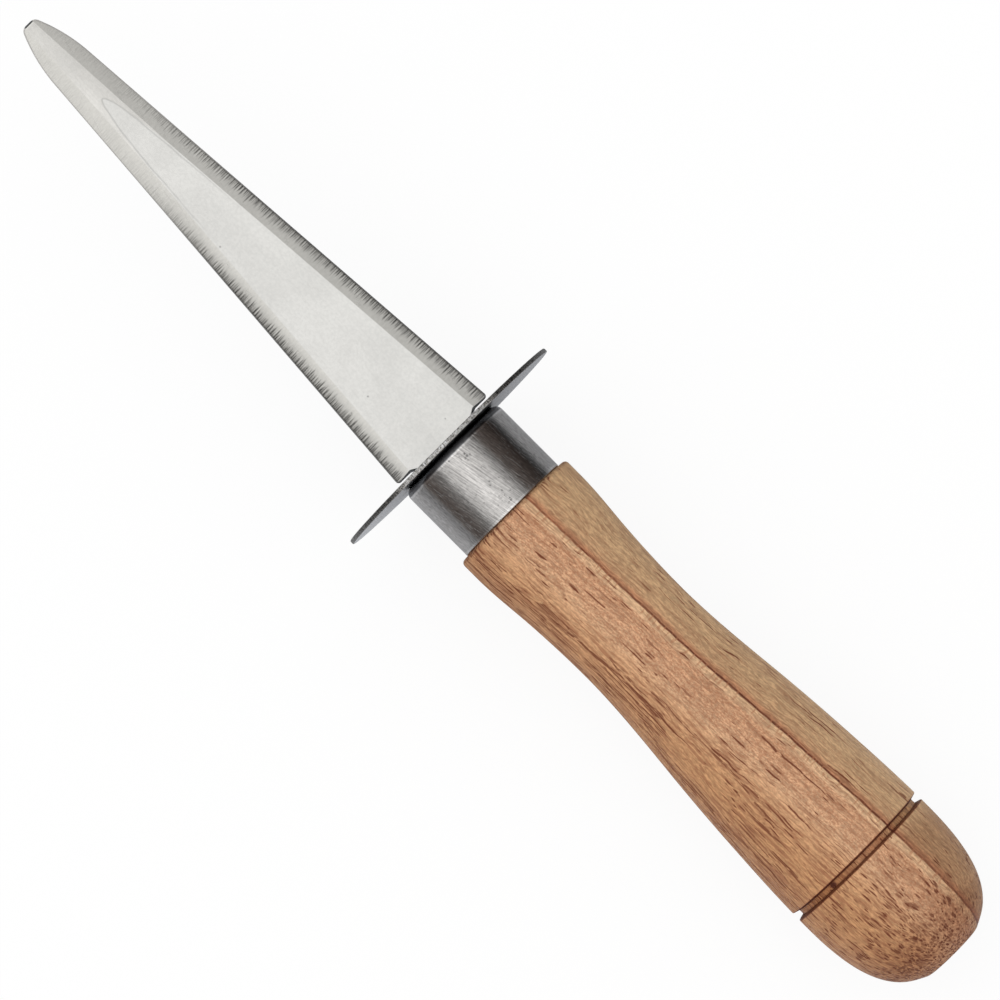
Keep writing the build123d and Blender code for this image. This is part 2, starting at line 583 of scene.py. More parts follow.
@dataclass(frozen=True)
class SteelFinish:
    """Bright steel with the marks of its making.

    Lengths are in millimetres. Changes and darks are shares of the tone, and heights are counted
    in mark depths.
    """

    name: str
    tint: Colour
    roughness: float
    marks: Marks = Marks.ALONG
    mark_length: float = 18.0
    mark_width: float = 0.22
    mark_depth: float = 0.0008
    mark_slant: float = 0.0
    tone_change: float = 0.02
    rough_change: float = 0.1
    cloud_scale: float = 0.16
    cloud_change: float = 0.02
    mottle_scale: float = 2.4
    mottle: float = 0.015
    scratches: float = 0.3
    scratch_slant: float = 0.25
    scratch_spacing: float = 2.0
    scratch_width: float = 0.03
    scratch_dark: float = 0.2
    scratch_rough: float = 0.1
    scratch_height: float = 3.0
    specks: float = 0.12
    speck_spacing: float = 1.6
    speck_size: float = 0.07
    speck_dark: float = 0.6
    speck_height: float = 8.0

    def tones(self, graph: Graph, effects: Effects, place: Socket) -> Tones:
        """Works out how light each place is, how rough it is, and how high.

        Args:
            graph: The material's graph.
            effects: The shared node groups.
            place: The place on the piece.

        Returns:
            The tone by which the tint is multiplied, the roughness, and the height.
        """
        run = place
        if self.marks is Marks.ACROSS:
            x, y, z = graph.split(place)
            run = graph.join(y, x, z)
        run = graph.place(run, rotation=(0.0, 0.0, self.mark_slant))
        length, width = self.mark_length, self.mark_width
        streaks = graph.group(effects.streaks, place=run, length=length, width=width)["Height"]
        slanted = graph.place(place, rotation=(0.0, 0.0, self.scratch_slant))
        spacing, hairline = self.scratch_spacing, self.scratch_width
        scratches = graph.group(
            effects.scratches, place=slanted, spacing=spacing, hairline=hairline
        )["Mask"]
        scratches = graph.times(scratches, self.scratches)
        spaced = graph.place(place, (1 / self.speck_spacing,) * 3)
        size, share = self.speck_size, self.specks
        specks = graph.group(effects.pits, place=spaced, size=size, share=share)["Mask"]

        tone = graph.remap(streaks, 0.0, 1.0, *around_one(self.tone_change))
        cloud = graph.noise(place, self.cloud_scale, 3.0)
        clouded = graph.remap(cloud, *NOISE_RANGE, *around_one(self.cloud_change))
        fine = graph.noise(place, self.mottle_scale, 3.0, 0.6)
        fine = graph.remap(fine, *NOISE_RANGE, *around_one(self.mottle))
        tone = graph.times(tone, clouded, fine)
        tone = graph.shaded(tone, scratches, self.scratch_dark)
        tone = graph.shaded(tone, specks, self.speck_dark)
        least, greatest = around_one(self.rough_change)
        least, greatest = self.roughness * least, self.roughness * greatest
        rough = graph.remap(streaks, 0.0, 1.0, least, greatest)
        rough = graph.plus(rough, graph.times(scratches, self.scratch_rough))
        height = graph.minus(streaks, graph.times(scratches, self.scratch_height))
        height = graph.minus(height, graph.times(specks, self.speck_height))
        return tone, rough, height

    def material(self, effects: Effects) -> bpy.types.Material:
        """Makes the material.

        Args:
            effects: The shared node groups.

        Returns:
            A new material.
        """
        made, graph, shader = new_material(self.name)
        tone, rough, height = self.tones(graph, effects, graph.millimetres())
        colour = graph.mix(1.0, paint(*self.tint), graph.grey(tone), "MULTIPLY")
        graph.feed(shader.inputs["Base Color"], colour)
        shader.inputs["Metallic"].default_value = 1.0
        graph.feed(shader.inputs["Roughness"], rough)
        graph.feed(shader.inputs["Normal"], graph.bump(height, self.mark_depth))
        return made


@dataclass(frozen=True)
class BevelFinish(SteelFinish):
    """A ground bevel, with the comb of deep marks that a coarse wheel leaves along its edge.

    The comb weakens towards the point, and the bevel rolls over towards its edge. Both differ
    between the +Y and the -Y side of the blade.
    """

    edge_point: tuple[float, float] = (93.25, 8.15)
    edge_slope: float = -0.0739
    width: float = 2.25
    roll: float = 0.2
    roll_change: float = 0.11
    roll_power: float = 3.0
    roll_fades: Ease = (125.0, 155.0, 1.0, 0.15)
    ease: float = 0.17
    ease_change: float = 0.06
    comb_depth: float = 0.02
    comb_reaches: Ease = (0.32, 0.68, 0.63, 2.1)
    comb_full: float = 0.5
    comb_dark: float = 0.8
    comb_teeth: Span = (0.47, 0.59)
    comb_lights: Span = (0.5, 0.4)
    comb_light: float = 0.25
    comb_fades: Ease = (128.0, 154.0, 1.0, 0.1)
    comb_lag: float = 6.0
    row_shift: float = 9.0
    tooth_scale: Triple = (4.6, 1.0, 3.0)
    reach_scale: Triple = (2.6, 1.0, 3.0)
    reach_shift: Triple = (5.0, 0.0, 0.0)
    # How much darker the strip along the edge is, by how far in from the edge it lies.
    edge_darkening: Ease = (0.1, 0.4, 0.55, 0.0)

    def comb(
        self, graph: Graph, row: Socket, inward: Socket, strength: Socket
    ) -> tuple[Socket, Socket]:
        """Lays the comb of marks.

        Args:
            graph: The material's graph.
            row: A place whose X runs along the edge, different for each edge of the blade.
            inward: How far in from the edge it lies.
            strength: How strong the marks are there.

        Returns:
            A mask of the dark marks, and one of the bright steel between them.
        """
        teeth = graph.noise(graph.place(row, self.tooth_scale), 1.0, 2.0, 0.7)
        spaced = graph.place(row, self.reach_scale, location=self.reach_shift)
        reach = graph.remap(graph.noise(spaced, 1.0, 3.0, 0.8), *self.comb_reaches)
        fall = graph.remap(inward, graph.times(reach, self.comb_full), reach, 1.0, 0.0)
        fall = graph.times(fall, strength)
        dark = graph.times(graph.remap(teeth, *self.comb_teeth), fall)
        return dark, graph.times(graph.remap(teeth, *self.comb_lights), fall)

    def rolled(self, graph: Graph, x: Socket, side: Socket, inward: Socket) -> Socket:
        """Works out how far the bevel falls away towards its edge.

        Args:
            graph: The material's graph.
            x: The place along the knife.
            side: 1 on the +Y side of the blade and -1 on the other.
            inward: How far in from the edge the place lies.

        Returns:
            The fall, in millimetres.
        """
        out = graph.math("DIVIDE", graph.minus(self.width, inward), self.width)
        out = graph.most(out, 0.0)
        roll = graph.scaled(side, self.roll_change, self.roll)
        roll = graph.times(roll, graph.remap(x, *self.roll_fades))
        bent = graph.math("POWER", out, graph.minus(self.roll_power, side))
        ease = graph.times(out, graph.scaled(side, self.ease_change, self.ease))
        return graph.minus(graph.times(bent, roll), ease)

    def tones(self, graph: Graph, effects: Effects, place: Socket) -> Tones:
        """Adds the comb, the darker strip along the edge and the rolled edge to the plain finish.

        Args:
            graph: The material's graph.
            effects: The shared node groups.
            place: The place on the piece.

        Returns:
            The tone, the roughness and the height.
        """
        tone, rough, height = super().tones(graph, effects, place)
        x, y, z = graph.split(place)
        along = graph.minus(x, self.edge_point[0])
        edge = graph.scaled(along, self.edge_slope, self.edge_point[1])
        inward = graph.minus(edge, graph.size(y))
        side = graph.math("SIGN", y)
        strength = graph.remap(graph.scaled(side, self.comb_lag, x), *self.comb_fades)
        row = graph.join(x, graph.times(side, self.row_shift), graph.math("SIGN", z))
        dark, light = self.comb(graph, row, inward, strength)
        shade = graph.rest(graph.times(dark, self.comb_dark))
        shade = graph.plus(shade, graph.times(light, self.comb_light))
        edge_darkening = graph.times(graph.remap(inward, *self.edge_darkening), strength)
        shade = graph.times(shade, graph.rest(edge_darkening))
        cut = graph.scaled(dark, self.comb_depth, self.rolled(graph, x, side, inward))
        cut = graph.math("DIVIDE", cut, self.mark_depth)
        return graph.times(tone, shade), rough, graph.minus(height, cut)


@dataclass(frozen=True)
class RoundFinish(SteelFinish):
    """Steel of a turned or stamped round piece, with painted shade towards its sides, round its
    joints and on its nose, and painted highlight lines at its lips.
    """

    # Painted shade towards the sides.
    side_from: float = 20.0
    side_to: float = 30.0
    side_shade_tone: float = 1.0
    # Painted shade round the joint, where the parts meet.
    joint_radius: float = 0.0
    joint_spread: float = 1.12
    joint_gap: float = 0.01
    joint_shade_tone: float = 0.1
    joint_front: float = 1000.0
    # Painted shade on the nose.
    nose_shade_from: float = 200.0
    nose_shade_to: float = 201.0
    # Painted highlight lines at the lips.
    lips: Span = (0.0, 0.0)
    lip_highlight_tones: Ease = (0.06, 0.2, 1.3, 1.0)
    pitted: Span = (0.0, 0.0)
    pitted_ends: Ease = (0.8, 1.6, 1.0, 0.0)
    pitted_side: float = -0.9
    pitted_row: Ease = (0.3, 1.4, 1.0, 0.0)
    pit_scale: float = 2.6
    pit_size: float = 0.42
    pit_share: float = 0.8
    pit_dark: float = 0.65
    pit_height: float = 6.0

    def nearest(self, graph: Graph, x: Socket, places: Span) -> Socket:
        """Returns how far the nearer of two places along the knife is."""
        return graph.math("MINIMUM", *(graph.apart(x, place) for place in places))

    def pits(self, graph: Graph, effects: Effects, place: Socket) -> Socket:
        """Scatters pits along the top of a piece, near its two ends.

        Args:
            graph: The material's graph.
            effects: The shared node groups.
            place: The place on the piece.

        Returns:
            A mask of the pits.
        """
        x, y, z = graph.split(place)
        spaced = graph.place(place, (self.pit_scale,) * 3)
        pits = graph.group(effects.pits, place=spaced, size=self.pit_size, share=self.pit_share)
        ends = graph.remap(self.nearest(graph, x, self.pitted), *self.pitted_ends)
        row = graph.remap(graph.apart(y, self.pitted_side), *self.pitted_row)
        row = graph.times(row, graph.remap(z, 0.0, 1.0))
        return graph.times(pits["Mask"], graph.times(ends, row))

    def tones(self, graph: Graph, effects: Effects, place: Socket) -> Tones:
        """Adds the painted shade of the sides, the joints and the nose, the painted highlight lines
        at the lips, and the pits.

        Args:
            graph: The material's graph.
            effects: The shared node groups.
            place: The place on the piece.

        Returns:
            The tone, the roughness and the height.
        """
        tone, rough, height = super().tones(graph, effects, place)
        x, y, z = graph.split(place)
        # Painted shade: darker towards the sides.
        sides = graph.remap(graph.size(y), self.side_from, self.side_to, 1.0, self.side_shade_tone)
        # Painted shade round the joint, where the parts meet.
        away = graph.vector("LENGTH", graph.join(0.0, y, z))
        joint_end = self.joint_radius * self.joint_spread + self.joint_gap
        joint_shade = graph.remap(away, self.joint_radius, joint_end, self.joint_shade_tone, 1.0)
        joint_shade = graph.most(joint_shade, graph.math("GREATER_THAN", x, self.joint_front))
        # Painted shade on the nose, which faces the guard.
        nose = graph.remap(x, self.nose_shade_from, self.nose_shade_to, 1.0, self.joint_shade_tone)
        # Painted highlight: a bright line at each lip.
        lip_highlight = graph.remap(self.nearest(graph, x, self.lips), *self.lip_highlight_tones)
        pits = self.pits(graph, effects, place)
        wear_and_glint = graph.rest(graph.times(pits, self.pit_dark))
        tone = graph.times(tone, sides, joint_shade, nose, lip_highlight, wear_and_glint)
        return tone, rough, graph.minus(height, graph.times(pits, self.pit_height))


@dataclass(frozen=True)
class EdgeFinish(SteelFinish):
    """The thin outer wall of the blade, with dark scale left on the end of the point."""

    scale_from: float = 169.1
    scale_step: float = 0.05
    scale_tone: float = 0.02
    scale_sides: Span = (0.6, 0.8)
    pale: Ease = (125.0, 152.0, 1.0, 3.2)

    def tones(self, graph: Graph, effects: Effects, place: Socket) -> Tones:
        """Adds the scale, and the paler steel towards the point, to the plain finish.

        Args:
            graph: The material's graph.
            effects: The shared node groups.
            place: The place on the piece.

        Returns:
            The tone, the roughness and the height.
        """
        tone, rough, height = super().tones(graph, effects, place)
        x, y, _ = graph.split(place)
        scale_to = self.scale_from + self.scale_step
        scale = graph.remap(x, self.scale_from, scale_to, 1.0, self.scale_tone)
        scale = graph.most(scale, graph.remap(graph.size(y), *self.scale_sides))
        pale = graph.remap(x, *self.pale)
        return graph.times(tone, graph.times(scale, pale)), rough, height


@dataclass(frozen=True)
class FaceFinish(SteelFinish):
    """The blade's polished face, with a fine line where the crowned grinding of the nose ends."""

    cloud_change: float = 0.03
    mottle: float = 0.028
    scratches: float = 0.14
    specks: float = 0.4
    flat_end: float = 155.65
    fall: float = 0.11 / 13.9
    crown_radius: float = 19.7
    wave_scale: float = 0.35
    wave: float = 0.3
    line_width: float = 0.2
    line_dark: float = 0.2
    line_fades: Span = (128.0, 146.0)
    dulls: Ease = (156.0, 163.0, 1.0, 0.92)
    scale_from: float = 169.17
    scale_step: float = 0.03
    scale_half_width: float = 0.6
    scale_blur: float = 0.15
    scale_dark: float = 0.98
    # A painted glint on the face just behind the scale.
    glint_lead: Span = (0.25, 0.15)
    glint_light: float = 0.12

    def run_out(self, graph: Graph, x: Socket, y: Socket) -> Socket:
        """Draws the line where the crowned grinding runs out into the flat.

        Args:
            graph: The material's graph.
            x: The place along the knife.
            y: The place across it.

        Returns:
            A mask of the line.
        """
        ahead = graph.times(graph.minus(x, self.flat_end), self.fall)
        crown = graph.math("DIVIDE", graph.times(y, y), 2 * self.crown_radius)
        slope = graph.math("DIVIDE", y, self.crown_radius)
        steepness = graph.math("SQRT", graph.scaled(slope, slope, self.fall**2))
        off_line = graph.size(graph.math("DIVIDE", graph.plus(ahead, crown), steepness))
        line = graph.remap(off_line, 0.0, self.line_width, 1.0, 0.0)
        return graph.times(line, graph.remap(x, *self.line_fades))

    def tones(self, graph: Graph, effects: Effects, place: Socket) -> Tones:
        """Adds the line, the duller nose, the painted glint and the scale on the point to the plain
        finish.

        Args:
            graph: The material's graph.
            effects: The shared node groups.
            place: The place on the piece.

        Returns:
            The tone, the roughness and the height.
        """
        tone, rough, height = super().tones(graph, effects, place)
        wavy = graph.minus(graph.noise(place, self.wave_scale), NOISE_MIDDLE)
        x, y, _ = graph.split(place)
        y = graph.plus(y, graph.times(wavy, self.wave))
        shade = graph.rest(graph.times(self.run_out(graph, x, y), self.line_dark))
        shade = graph.times(shade, graph.remap(x, *self.dulls))
        side = self.scale_half_width
        middle = graph.remap(graph.size(y), side, side + self.scale_blur, 1.0, 0.0)
        scale_to = self.scale_from + self.scale_step
        scale = graph.times(graph.remap(x, self.scale_from, scale_to), middle)
        shade = graph.times(shade, graph.scaled(scale, -self.scale_dark, 1.0))
        # Painted highlight: the face is lightened just behind the scale, as the glint of the
        # crown's end edge.
        glint_from, glint_to = (self.scale_from - lead for lead in self.glint_lead)
        wear_and_glint = graph.times(graph.remap(x, glint_from, glint_to), middle)
        shade = graph.times(shade, graph.scaled(wear_and_glint, self.glint_light, 1.0))
        return graph.times(tone, shade), rough, height


@dataclass(frozen=True)
class WoodPlace:
    """What a place on the handle knows of where it lies, as the sockets that say it.

    Attributes:
        place: The place from the butt, in millimetres.
        wood: The same place, with X along the grain and Y across the rings.
        deep: How deep it lies across the rings, from the growth line.
        sway: How far the grain sways aside there.
        bent: The place in the wood, with the sway taken out.
        facing: How far the surface faces along the knife, from 0 to 1.
        ahead: The same with its sign, 1 where it faces the point.
        butt: A mask of the domed end.
    """

    place: Socket
    wood: Socket
    deep: Socket
    sway: Socket
    bent: Socket
    facing: Socket
    ahead: Socket
    butt: Socket


@dataclass(frozen=True)
class WoodFinish:
    """Thinly oiled open-pored hardwood. Its growth rings stand square to the flat of the blade.

    Depths are counted across the rings from the one dark growth line, in millimetres. A scale is
    how fast a noise changes along the grain and across it. A pair of pores is how far apart
    vessels start along the grain, and how far apart they are across it.
    """

    name: str = "turned_hardwood"
    grain: Triple = (1.0, 0.046, 0.0)
    across_rings: Triple = (-0.046, 1.0, 0.2)
    line_offset: float = 4.27
    wander_scale: Triple = (0.03, 0.13, 0.13)
    ring_wander: float = 1.2
    waver_scale: Triple = (0.5, 0.6, 0.6)
    ring_waver: float = 0.3
    ring_colours: tuple[Stop, ...] = (
        (-16.0, (178, 144, 107)),
        (-8.0, (183, 150, 112)),
        (-3.5, (183, 149, 111)),
        (-1.1, (181, 144, 107)),
        (-0.55, (171, 123, 89)),
        (-0.42, (158, 106, 75)),
        (-0.32, (176, 129, 95)),
        (-0.2, (165, 113, 81)),
        (-0.13, (100, 48, 27)),
        (0.03, (98, 46, 26)),
        (0.11, (198, 161, 124)),
        (1.1, (200, 161, 125)),
        (1.5, (190, 145, 110)),
        (4.0, (195, 151, 116)),
        (5.6, (197, 156, 120)),
        (6.6, (194, 150, 112)),
        (8.5, (187, 142, 102)),
        (11.0, (181, 135, 94)),
        (20.0, (170, 125, 86)),
    )
    line_colour: Colour = (152, 100, 70)
    pore_colour: Colour = (102, 49, 28)
    ray_colour: Colour = (158, 104, 72)
    # Darkens end grain, and stands as painted shade where the surface turns away from the light.
    end_grain_and_shade_colour: Colour = (176, 144, 122)
    # Red-brown of burn marks in the groove, also laid as painted shade there.
    burnt_and_shade_colour: Colour = (84, 34, 18)
    groove_tint: Colour = (255, 236, 220)
    butt_ends: Ease = (14.0, 18.0, 1.0, 0.0)
    line_shift: float = 0.05
    line_faint: Ease = (0.08, 0.18, 0.5, 0.0)
    faint_towards: Span = (50.0, 66.0)
    sway_scale: Triple = (0.11, 0.3, 0.3)
    sway_width: float = 1.9
    coarse_grain: tuple[float, float] = (7.0, 0.36)
    coarse_tones: Span = (0.81, 1.145)
    fine_grain: tuple[float, float] = (0.8, 0.2)
    fine_tones: Span = (0.79, 1.17)
    stained_fibres: Span = (0.44, 0.14)
    stained_depths: Ease = (4.0, 8.0, 0.22, 0.6)
    tick_scale: Triple = (2.3, 0.3, 2.0)
    tick_noise: Span = (0.53, 0.62)
    tick_starts: Span = (-0.5, -0.1)
    tick_ends: Ease = (0.6, 1.3, 1.0, 0.0)
    tick_strength: float = 0.55
    fleck_scale: Triple = (2.7, 4.2, 4.2)
    fleck_noise: Span = (0.46, 0.58)
    fleck_starts: Span = (0.9, 1.4)
    fleck_ends: Ease = (4.5, 7.0, 1.0, 0.35)
    fleck_above: Ease = (-0.4, -1.4, 0.0, 0.3)
    fleck_strength: float = 0.6
    pore_sizes: Ease = (0.05, 0.4, 0.4, 0.56)
    crowd_scale: Triple = (0.06, 0.5, 0.5)
    crowds: Ease = (0.38, 0.6, 0.25, 1.0)
    crowd_on_butt: float = 0.7
    dome_depths: Span = (0.2, 1.5)
    side_depths: Ease = (5.0, 8.5, 0.04, 1.0)
    side_layers: Table = ((16.0, 0.31), (9.0, 0.26))
    side_size: float = 0.48
    side_strength: float = 0.95
    broken_scale: Triple = (0.6, 2.5, 1.0)
    broken_lines: Span = (0.38, 0.46)
    line_rise: float = -0.04
    line_wave_scale: Triple = (0.22, 0.4, 0.4)
    line_wave: float = 0.9
    line_sway: float = 0.6
    long_pores: tuple[float, float] = (8.0, 0.34)
    long_share: Ease = (3.0, 8.0, 0.12, 0.6)
    short_pores: tuple[float, float] = (3.2, 0.34)
    short_share: Ease = (3.0, 7.0, 0.17, 0.3)
    dome_pores: tuple[float, float] = (1.7, 0.37)
    dome_share: tuple[float, float] = (0.62, 0.03)
    fine_dome_pores: tuple[float, float] = (2.6, 0.3)
    fine_dome_share: float = 0.34
    halo_strength: float = 0.3
    pore_strength: float = 0.92
    end_facing: Span = (0.03, 0.5)
    end_depths: Ease = (-0.5, 3.0, 0.7, 0.55)
    end_collar: Ease = (78.5, 79.7, 1.0, 0.35)
    turned_depths: Ease = (-0.6, 0.0, 0.5, 0.08)
    groove_sides: Span = (0.5, 0.62)
    wall_facing: Span = (0.3, 0.75)
    wall_ahead: Ease = (-0.3, 0.3, 0.9, 0.55)
    floor_edge_reach: Span = (0.16, 0.4)
    burnt_and_shaded_floor: float = 0.45
    groove_spot: tuple[float, float] = (4.75, 8.95)
    spot_fades: Ease = (0.3, 0.6, 0.9, 0.0)
    skin_radius: float = 9.5
    roughness: float = 0.6
    pore_roughness: float = 0.8
    specular: float = 0.25
    fibre_height: float = 0.25
    pore_depth: float = 0.03

    def turn(self) -> Vector:
        """Works out the rotation that lays the grain along X and the way across the rings along Y.

        Returns:
            The rotation, as turns round X, Y and Z.
        """
        grain = Vector(self.grain).normalized()
        across = Vector(self.across_rings)
        across = (across - across.dot(grain) * grain).normalized()
        return Matrix((grain, across, grain.cross(across))).to_euler("XYZ")

    def stray(self, graph: Graph, wood: Socket, scale: Triple, detail: float = 2.0) -> Socket:
        """Returns a noise that goes either way from nought."""
        return graph.minus(graph.noise(graph.place(wood, scale), detail=detail), NOISE_MIDDLE)

    def locate(self, graph: Graph) -> WoodPlace:
        """Works out where a place lies in the handle.

        Args:
            graph: The material's graph.

        Returns:
            The sockets that say it.
        """
        place = graph.millimetres()
        wood = graph.place(place, rotation=self.turn(), location=(0.0, self.line_offset, 0.0))
        along, deep, tangent = graph.split(wood)
        wander = self.stray(graph, wood, self.wander_scale)
        waver = self.stray(graph, wood, self.waver_scale)
        deep = graph.plus(deep, graph.times(wander, self.ring_wander))
        deep = graph.plus(deep, graph.times(waver, self.ring_waver))
        sway = graph.times(self.stray(graph, wood, self.sway_scale, 3.0), self.sway_width)
        bent = graph.join(along, graph.plus(deep, sway), graph.plus(tangent, sway))
        ahead = graph.split(graph.node("ShaderNodeNewGeometry").outputs["Normal"])[0]
        butt = graph.remap(graph.split(place)[0], *self.butt_ends)
        return WoodPlace(place, wood, deep, sway, bent, graph.size(ahead), ahead, butt)

    def vessels(
        self,
        graph: Graph,
        effects: Effects,
        wood: Socket,
        spacing: tuple[float, float],
        size: Value,
        share: Value,
    ) -> dict[str, Socket]:
        """Lays vessels along the grain, which show as lines on the sides and as dots on the end.

        Args:
            graph: The material's graph.
            effects: The shared node groups.
            wood: The place in the wood.
            spacing: How far apart vessels start along the grain, and how far apart they are
                across it.
            size: Half a vessel's length and width, as a share of the spacing.
            share: The share of places that holds one.

        Returns:
            A mask of the vessels, and a halo of the stained wood round them.
        """
        length, gap = spacing
        shifted = graph.place(wood, location=(length, 2 * length, 3 * length))
        spaced = graph.place(shifted, (1 / length, 1 / gap, 1 / gap))
        return graph.group(effects.pits, place=spaced, size=size, share=share)

    def skin(self, graph: Graph, at: WoodPlace) -> Socket:
        """Unrolls the handle's surface, for the long vessels that run slightly askew on its side.

        Args:
            graph: The material's graph.
            at: Where the place lies.

        Returns:
            The place on the unrolled surface.
        """
        x, y, z = graph.split(at.place)
        round_it = graph.times(graph.math("ARCTAN2", y, z), self.skin_radius)
        wave = graph.noise(graph.place(at.place, self.line_wave_scale))
        wave = graph.scaled(wave, self.line_wave, graph.times(at.sway, self.line_sway))
        round_it = graph.plus(graph.scaled(x, self.line_rise, round_it), wave)
        return graph.join(x, round_it, 0.0)

    def pores(self, graph: Graph, effects: Effects, at: WoodPlace) -> tuple[Socket, Socket]:
        """Lays all the vessels: the long ones of the side, and those that thin out with depth.

        Args:
            graph: The material's graph.
            effects: The shared node groups.
            at: Where the place lies.

        Returns:
            A mask of the vessels, and one of the stained wood round them.
        """
        size = graph.remap(at.facing, *self.pore_sizes)
        crowd = graph.noise(graph.place(at.bent, self.crowd_scale))
        crowd = graph.remap(crowd, *self.crowds)
        crowd = graph.most(crowd, graph.times(at.butt, self.crowd_on_butt))
        dome = graph.times(at.butt, graph.remap(at.deep, *self.dome_depths))
        skin = self.skin(graph, at)
        side = graph.times(graph.remap(at.deep, *self.side_depths), graph.rest(at.butt))
        broken = graph.noise(graph.place(skin, self.broken_scale))
        broken = graph.remap(broken, *self.broken_lines)
        pores, halo = 0.0, 0.0
        for spacing in self.side_layers:
            share = graph.times(side, crowd)
            laid = self.vessels(graph, effects, skin, spacing, self.side_size, share)
            pores, halo = graph.most(laid["Mask"], pores), graph.most(laid["Halo"], halo)
        pores = graph.times(pores, graph.times(broken, self.side_strength))
        layers = (
            (self.long_pores, graph.remap(at.deep, *self.long_share)),
            (self.short_pores, graph.remap(at.deep, *self.short_share)),
            (self.dome_pores, graph.scaled(dome, *self.dome_share)),
            (self.fine_dome_pores, graph.times(dome, self.fine_dome_share)),
        )
        for spacing, share in layers:
            share = graph.times(crowd, share)
            laid = self.vessels(graph, effects, at.bent, spacing, size, share)
            pores, halo = graph.most(laid["Mask"], pores), graph.most(laid["Halo"], halo)
        return pores, halo

    def rings(self, graph: Graph, at: WoodPlace) -> Socket:
        """Colours the rings and their growth line, which is fainter on the dome and the front.

        Args:
            graph: The material's graph.
            at: Where the place lies.

        Returns:
            The colour.
        """
        colour = graph.ramp(at.deep, self.ring_colours)
        x = graph.split(at.place)[0]
        faint = graph.most(at.butt, graph.remap(x, *self.faint_towards))
        line = graph.remap(graph.size(graph.plus(at.deep, self.line_shift)), *self.line_faint)
        return graph.mix(graph.times(line, faint), colour, paint(*self.line_colour))

    def fibres(
        self, graph: Graph, effects: Effects, at: WoodPlace, colour: Socket
    ) -> tuple[Socket, Socket]:
        """Adds the fibres, which are stained darker deep below the growth line.

        Args:
            graph: The material's graph.
            effects: The shared node groups.
            at: Where the place lies.
            colour: The colour so far.

        Returns:
            The colour with its fibres, and the fibres' height.
        """
        coarse, fine = (
            graph.group(effects.streaks, place=at.bent, length=length, width=width)["Height"]
            for length, width in (self.coarse_grain, self.fine_grain)
        )
        tone = graph.remap(coarse, 0.0, 1.0, *self.coarse_tones)
        tone = graph.times(tone, graph.remap(fine, 0.0, 1.0, *self.fine_tones))
        colour = graph.mix(1.0, colour, graph.grey(tone), "MULTIPLY")
        stained = graph.remap(coarse, *self.stained_fibres)
        stained = graph.times(stained, graph.remap(at.deep, *self.stained_depths))
        return graph.mix(stained, colour, paint(*self.ray_colour)), coarse

    def rays(self, graph: Graph, at: WoodPlace, colour: Socket) -> Socket:
        """Adds the rays, which stand as ticks along the growth line and as fine flecks below it.

        Args:
            graph: The material's graph.
            at: Where the place lies.
            colour: The colour so far.

        Returns:
            The colour with its rays.
        """
        ticks = graph.noise(graph.place(at.wood, self.tick_scale))
        ticks = graph.remap(ticks, *self.tick_noise)
        band = graph.remap(at.deep, *self.tick_starts)
        band = graph.times(band, graph.remap(at.deep, *self.tick_ends))
        ticks = graph.times(ticks, band, self.tick_strength)
        colour = graph.mix(ticks, colour, paint(*self.ray_colour))
        flecks = graph.noise(graph.place(at.wood, self.fleck_scale), 1.0, 3.0, 0.7)
        flecks = graph.remap(flecks, *self.fleck_noise)
        band = graph.remap(at.deep, *self.fleck_starts)
        band = graph.times(band, graph.remap(at.deep, *self.fleck_ends))
        band = graph.most(band, graph.remap(at.deep, *self.fleck_above))
        flecks = graph.times(flecks, band, self.fleck_strength)
        return graph.mix(flecks, colour, paint(*self.ray_colour))

    def cuts(
        self, graph: Graph, at: WoodPlace, colour: Socket, groove: float, groove_width: float
    ) -> Socket:
        """Darkens the end grain, partly as painted shade, and the turned groove, whose walls and
        floor edges are darkened red-brown as burn marks and as painted shade, with its one dark
        spot.

        Args:
            graph: The material's graph.
            at: Where the place lies.
            colour: The colour so far.
            groove: Where along the handle the groove is.
            groove_width: The width of its mouth.

        Returns:
            The colour with both.
        """
        x = graph.split(at.place)[0]
        reach = graph.apart(x, groove)
        edges = (groove_width * share for share in self.groove_sides)
        inside = graph.remap(reach, *edges, 1.0, 0.0)
        # Darker end grain, and painted shade where the surface faces along the knife, away from the
        # overhead light.
        end_grain_and_shade = graph.times(
            graph.remap(at.facing, *self.end_facing),
            graph.rest(inside),
            graph.remap(at.deep, *self.end_depths),
            graph.remap(x, *self.end_collar),
        )
        # On the dome, darker towards -Y: end grain and painted shade.
        turned = graph.times(at.butt, graph.remap(at.deep, *self.turned_depths))
        end_grain_and_shade = graph.most(end_grain_and_shade, turned)
        colour = graph.mix(end_grain_and_shade, colour, paint(*self.end_grain_and_shade_colour), "MULTIPLY")
        colour = graph.mix(inside, colour, paint(*self.groove_tint), "MULTIPLY")
        # The groove's walls darkened red-brown, as burn marks and as painted shade in the recess.
        dark_walls = graph.times(
            inside,
            graph.remap(at.facing, *self.wall_facing),
            graph.remap(at.ahead, *self.wall_ahead),
        )
        colour = graph.mix(dark_walls, colour, paint(*self.burnt_and_shade_colour))
        # The floor beside the walls darkened red-brown, as burn marks and as painted shade; the
        # dark spot joins it.
        burnt_and_shaded_floor = graph.times(graph.remap(reach, *self.floor_edge_reach), inside)
        spot = graph.vector("DISTANCE", at.place, (groove, *self.groove_spot))
        spot = graph.remap(spot, *self.spot_fades)
        burnt_and_shaded_floor = graph.most(graph.times(burnt_and_shaded_floor, self.burnt_and_shaded_floor), spot)
        return graph.mix(burnt_and_shaded_floor, colour, paint(*self.burnt_and_shade_colour))

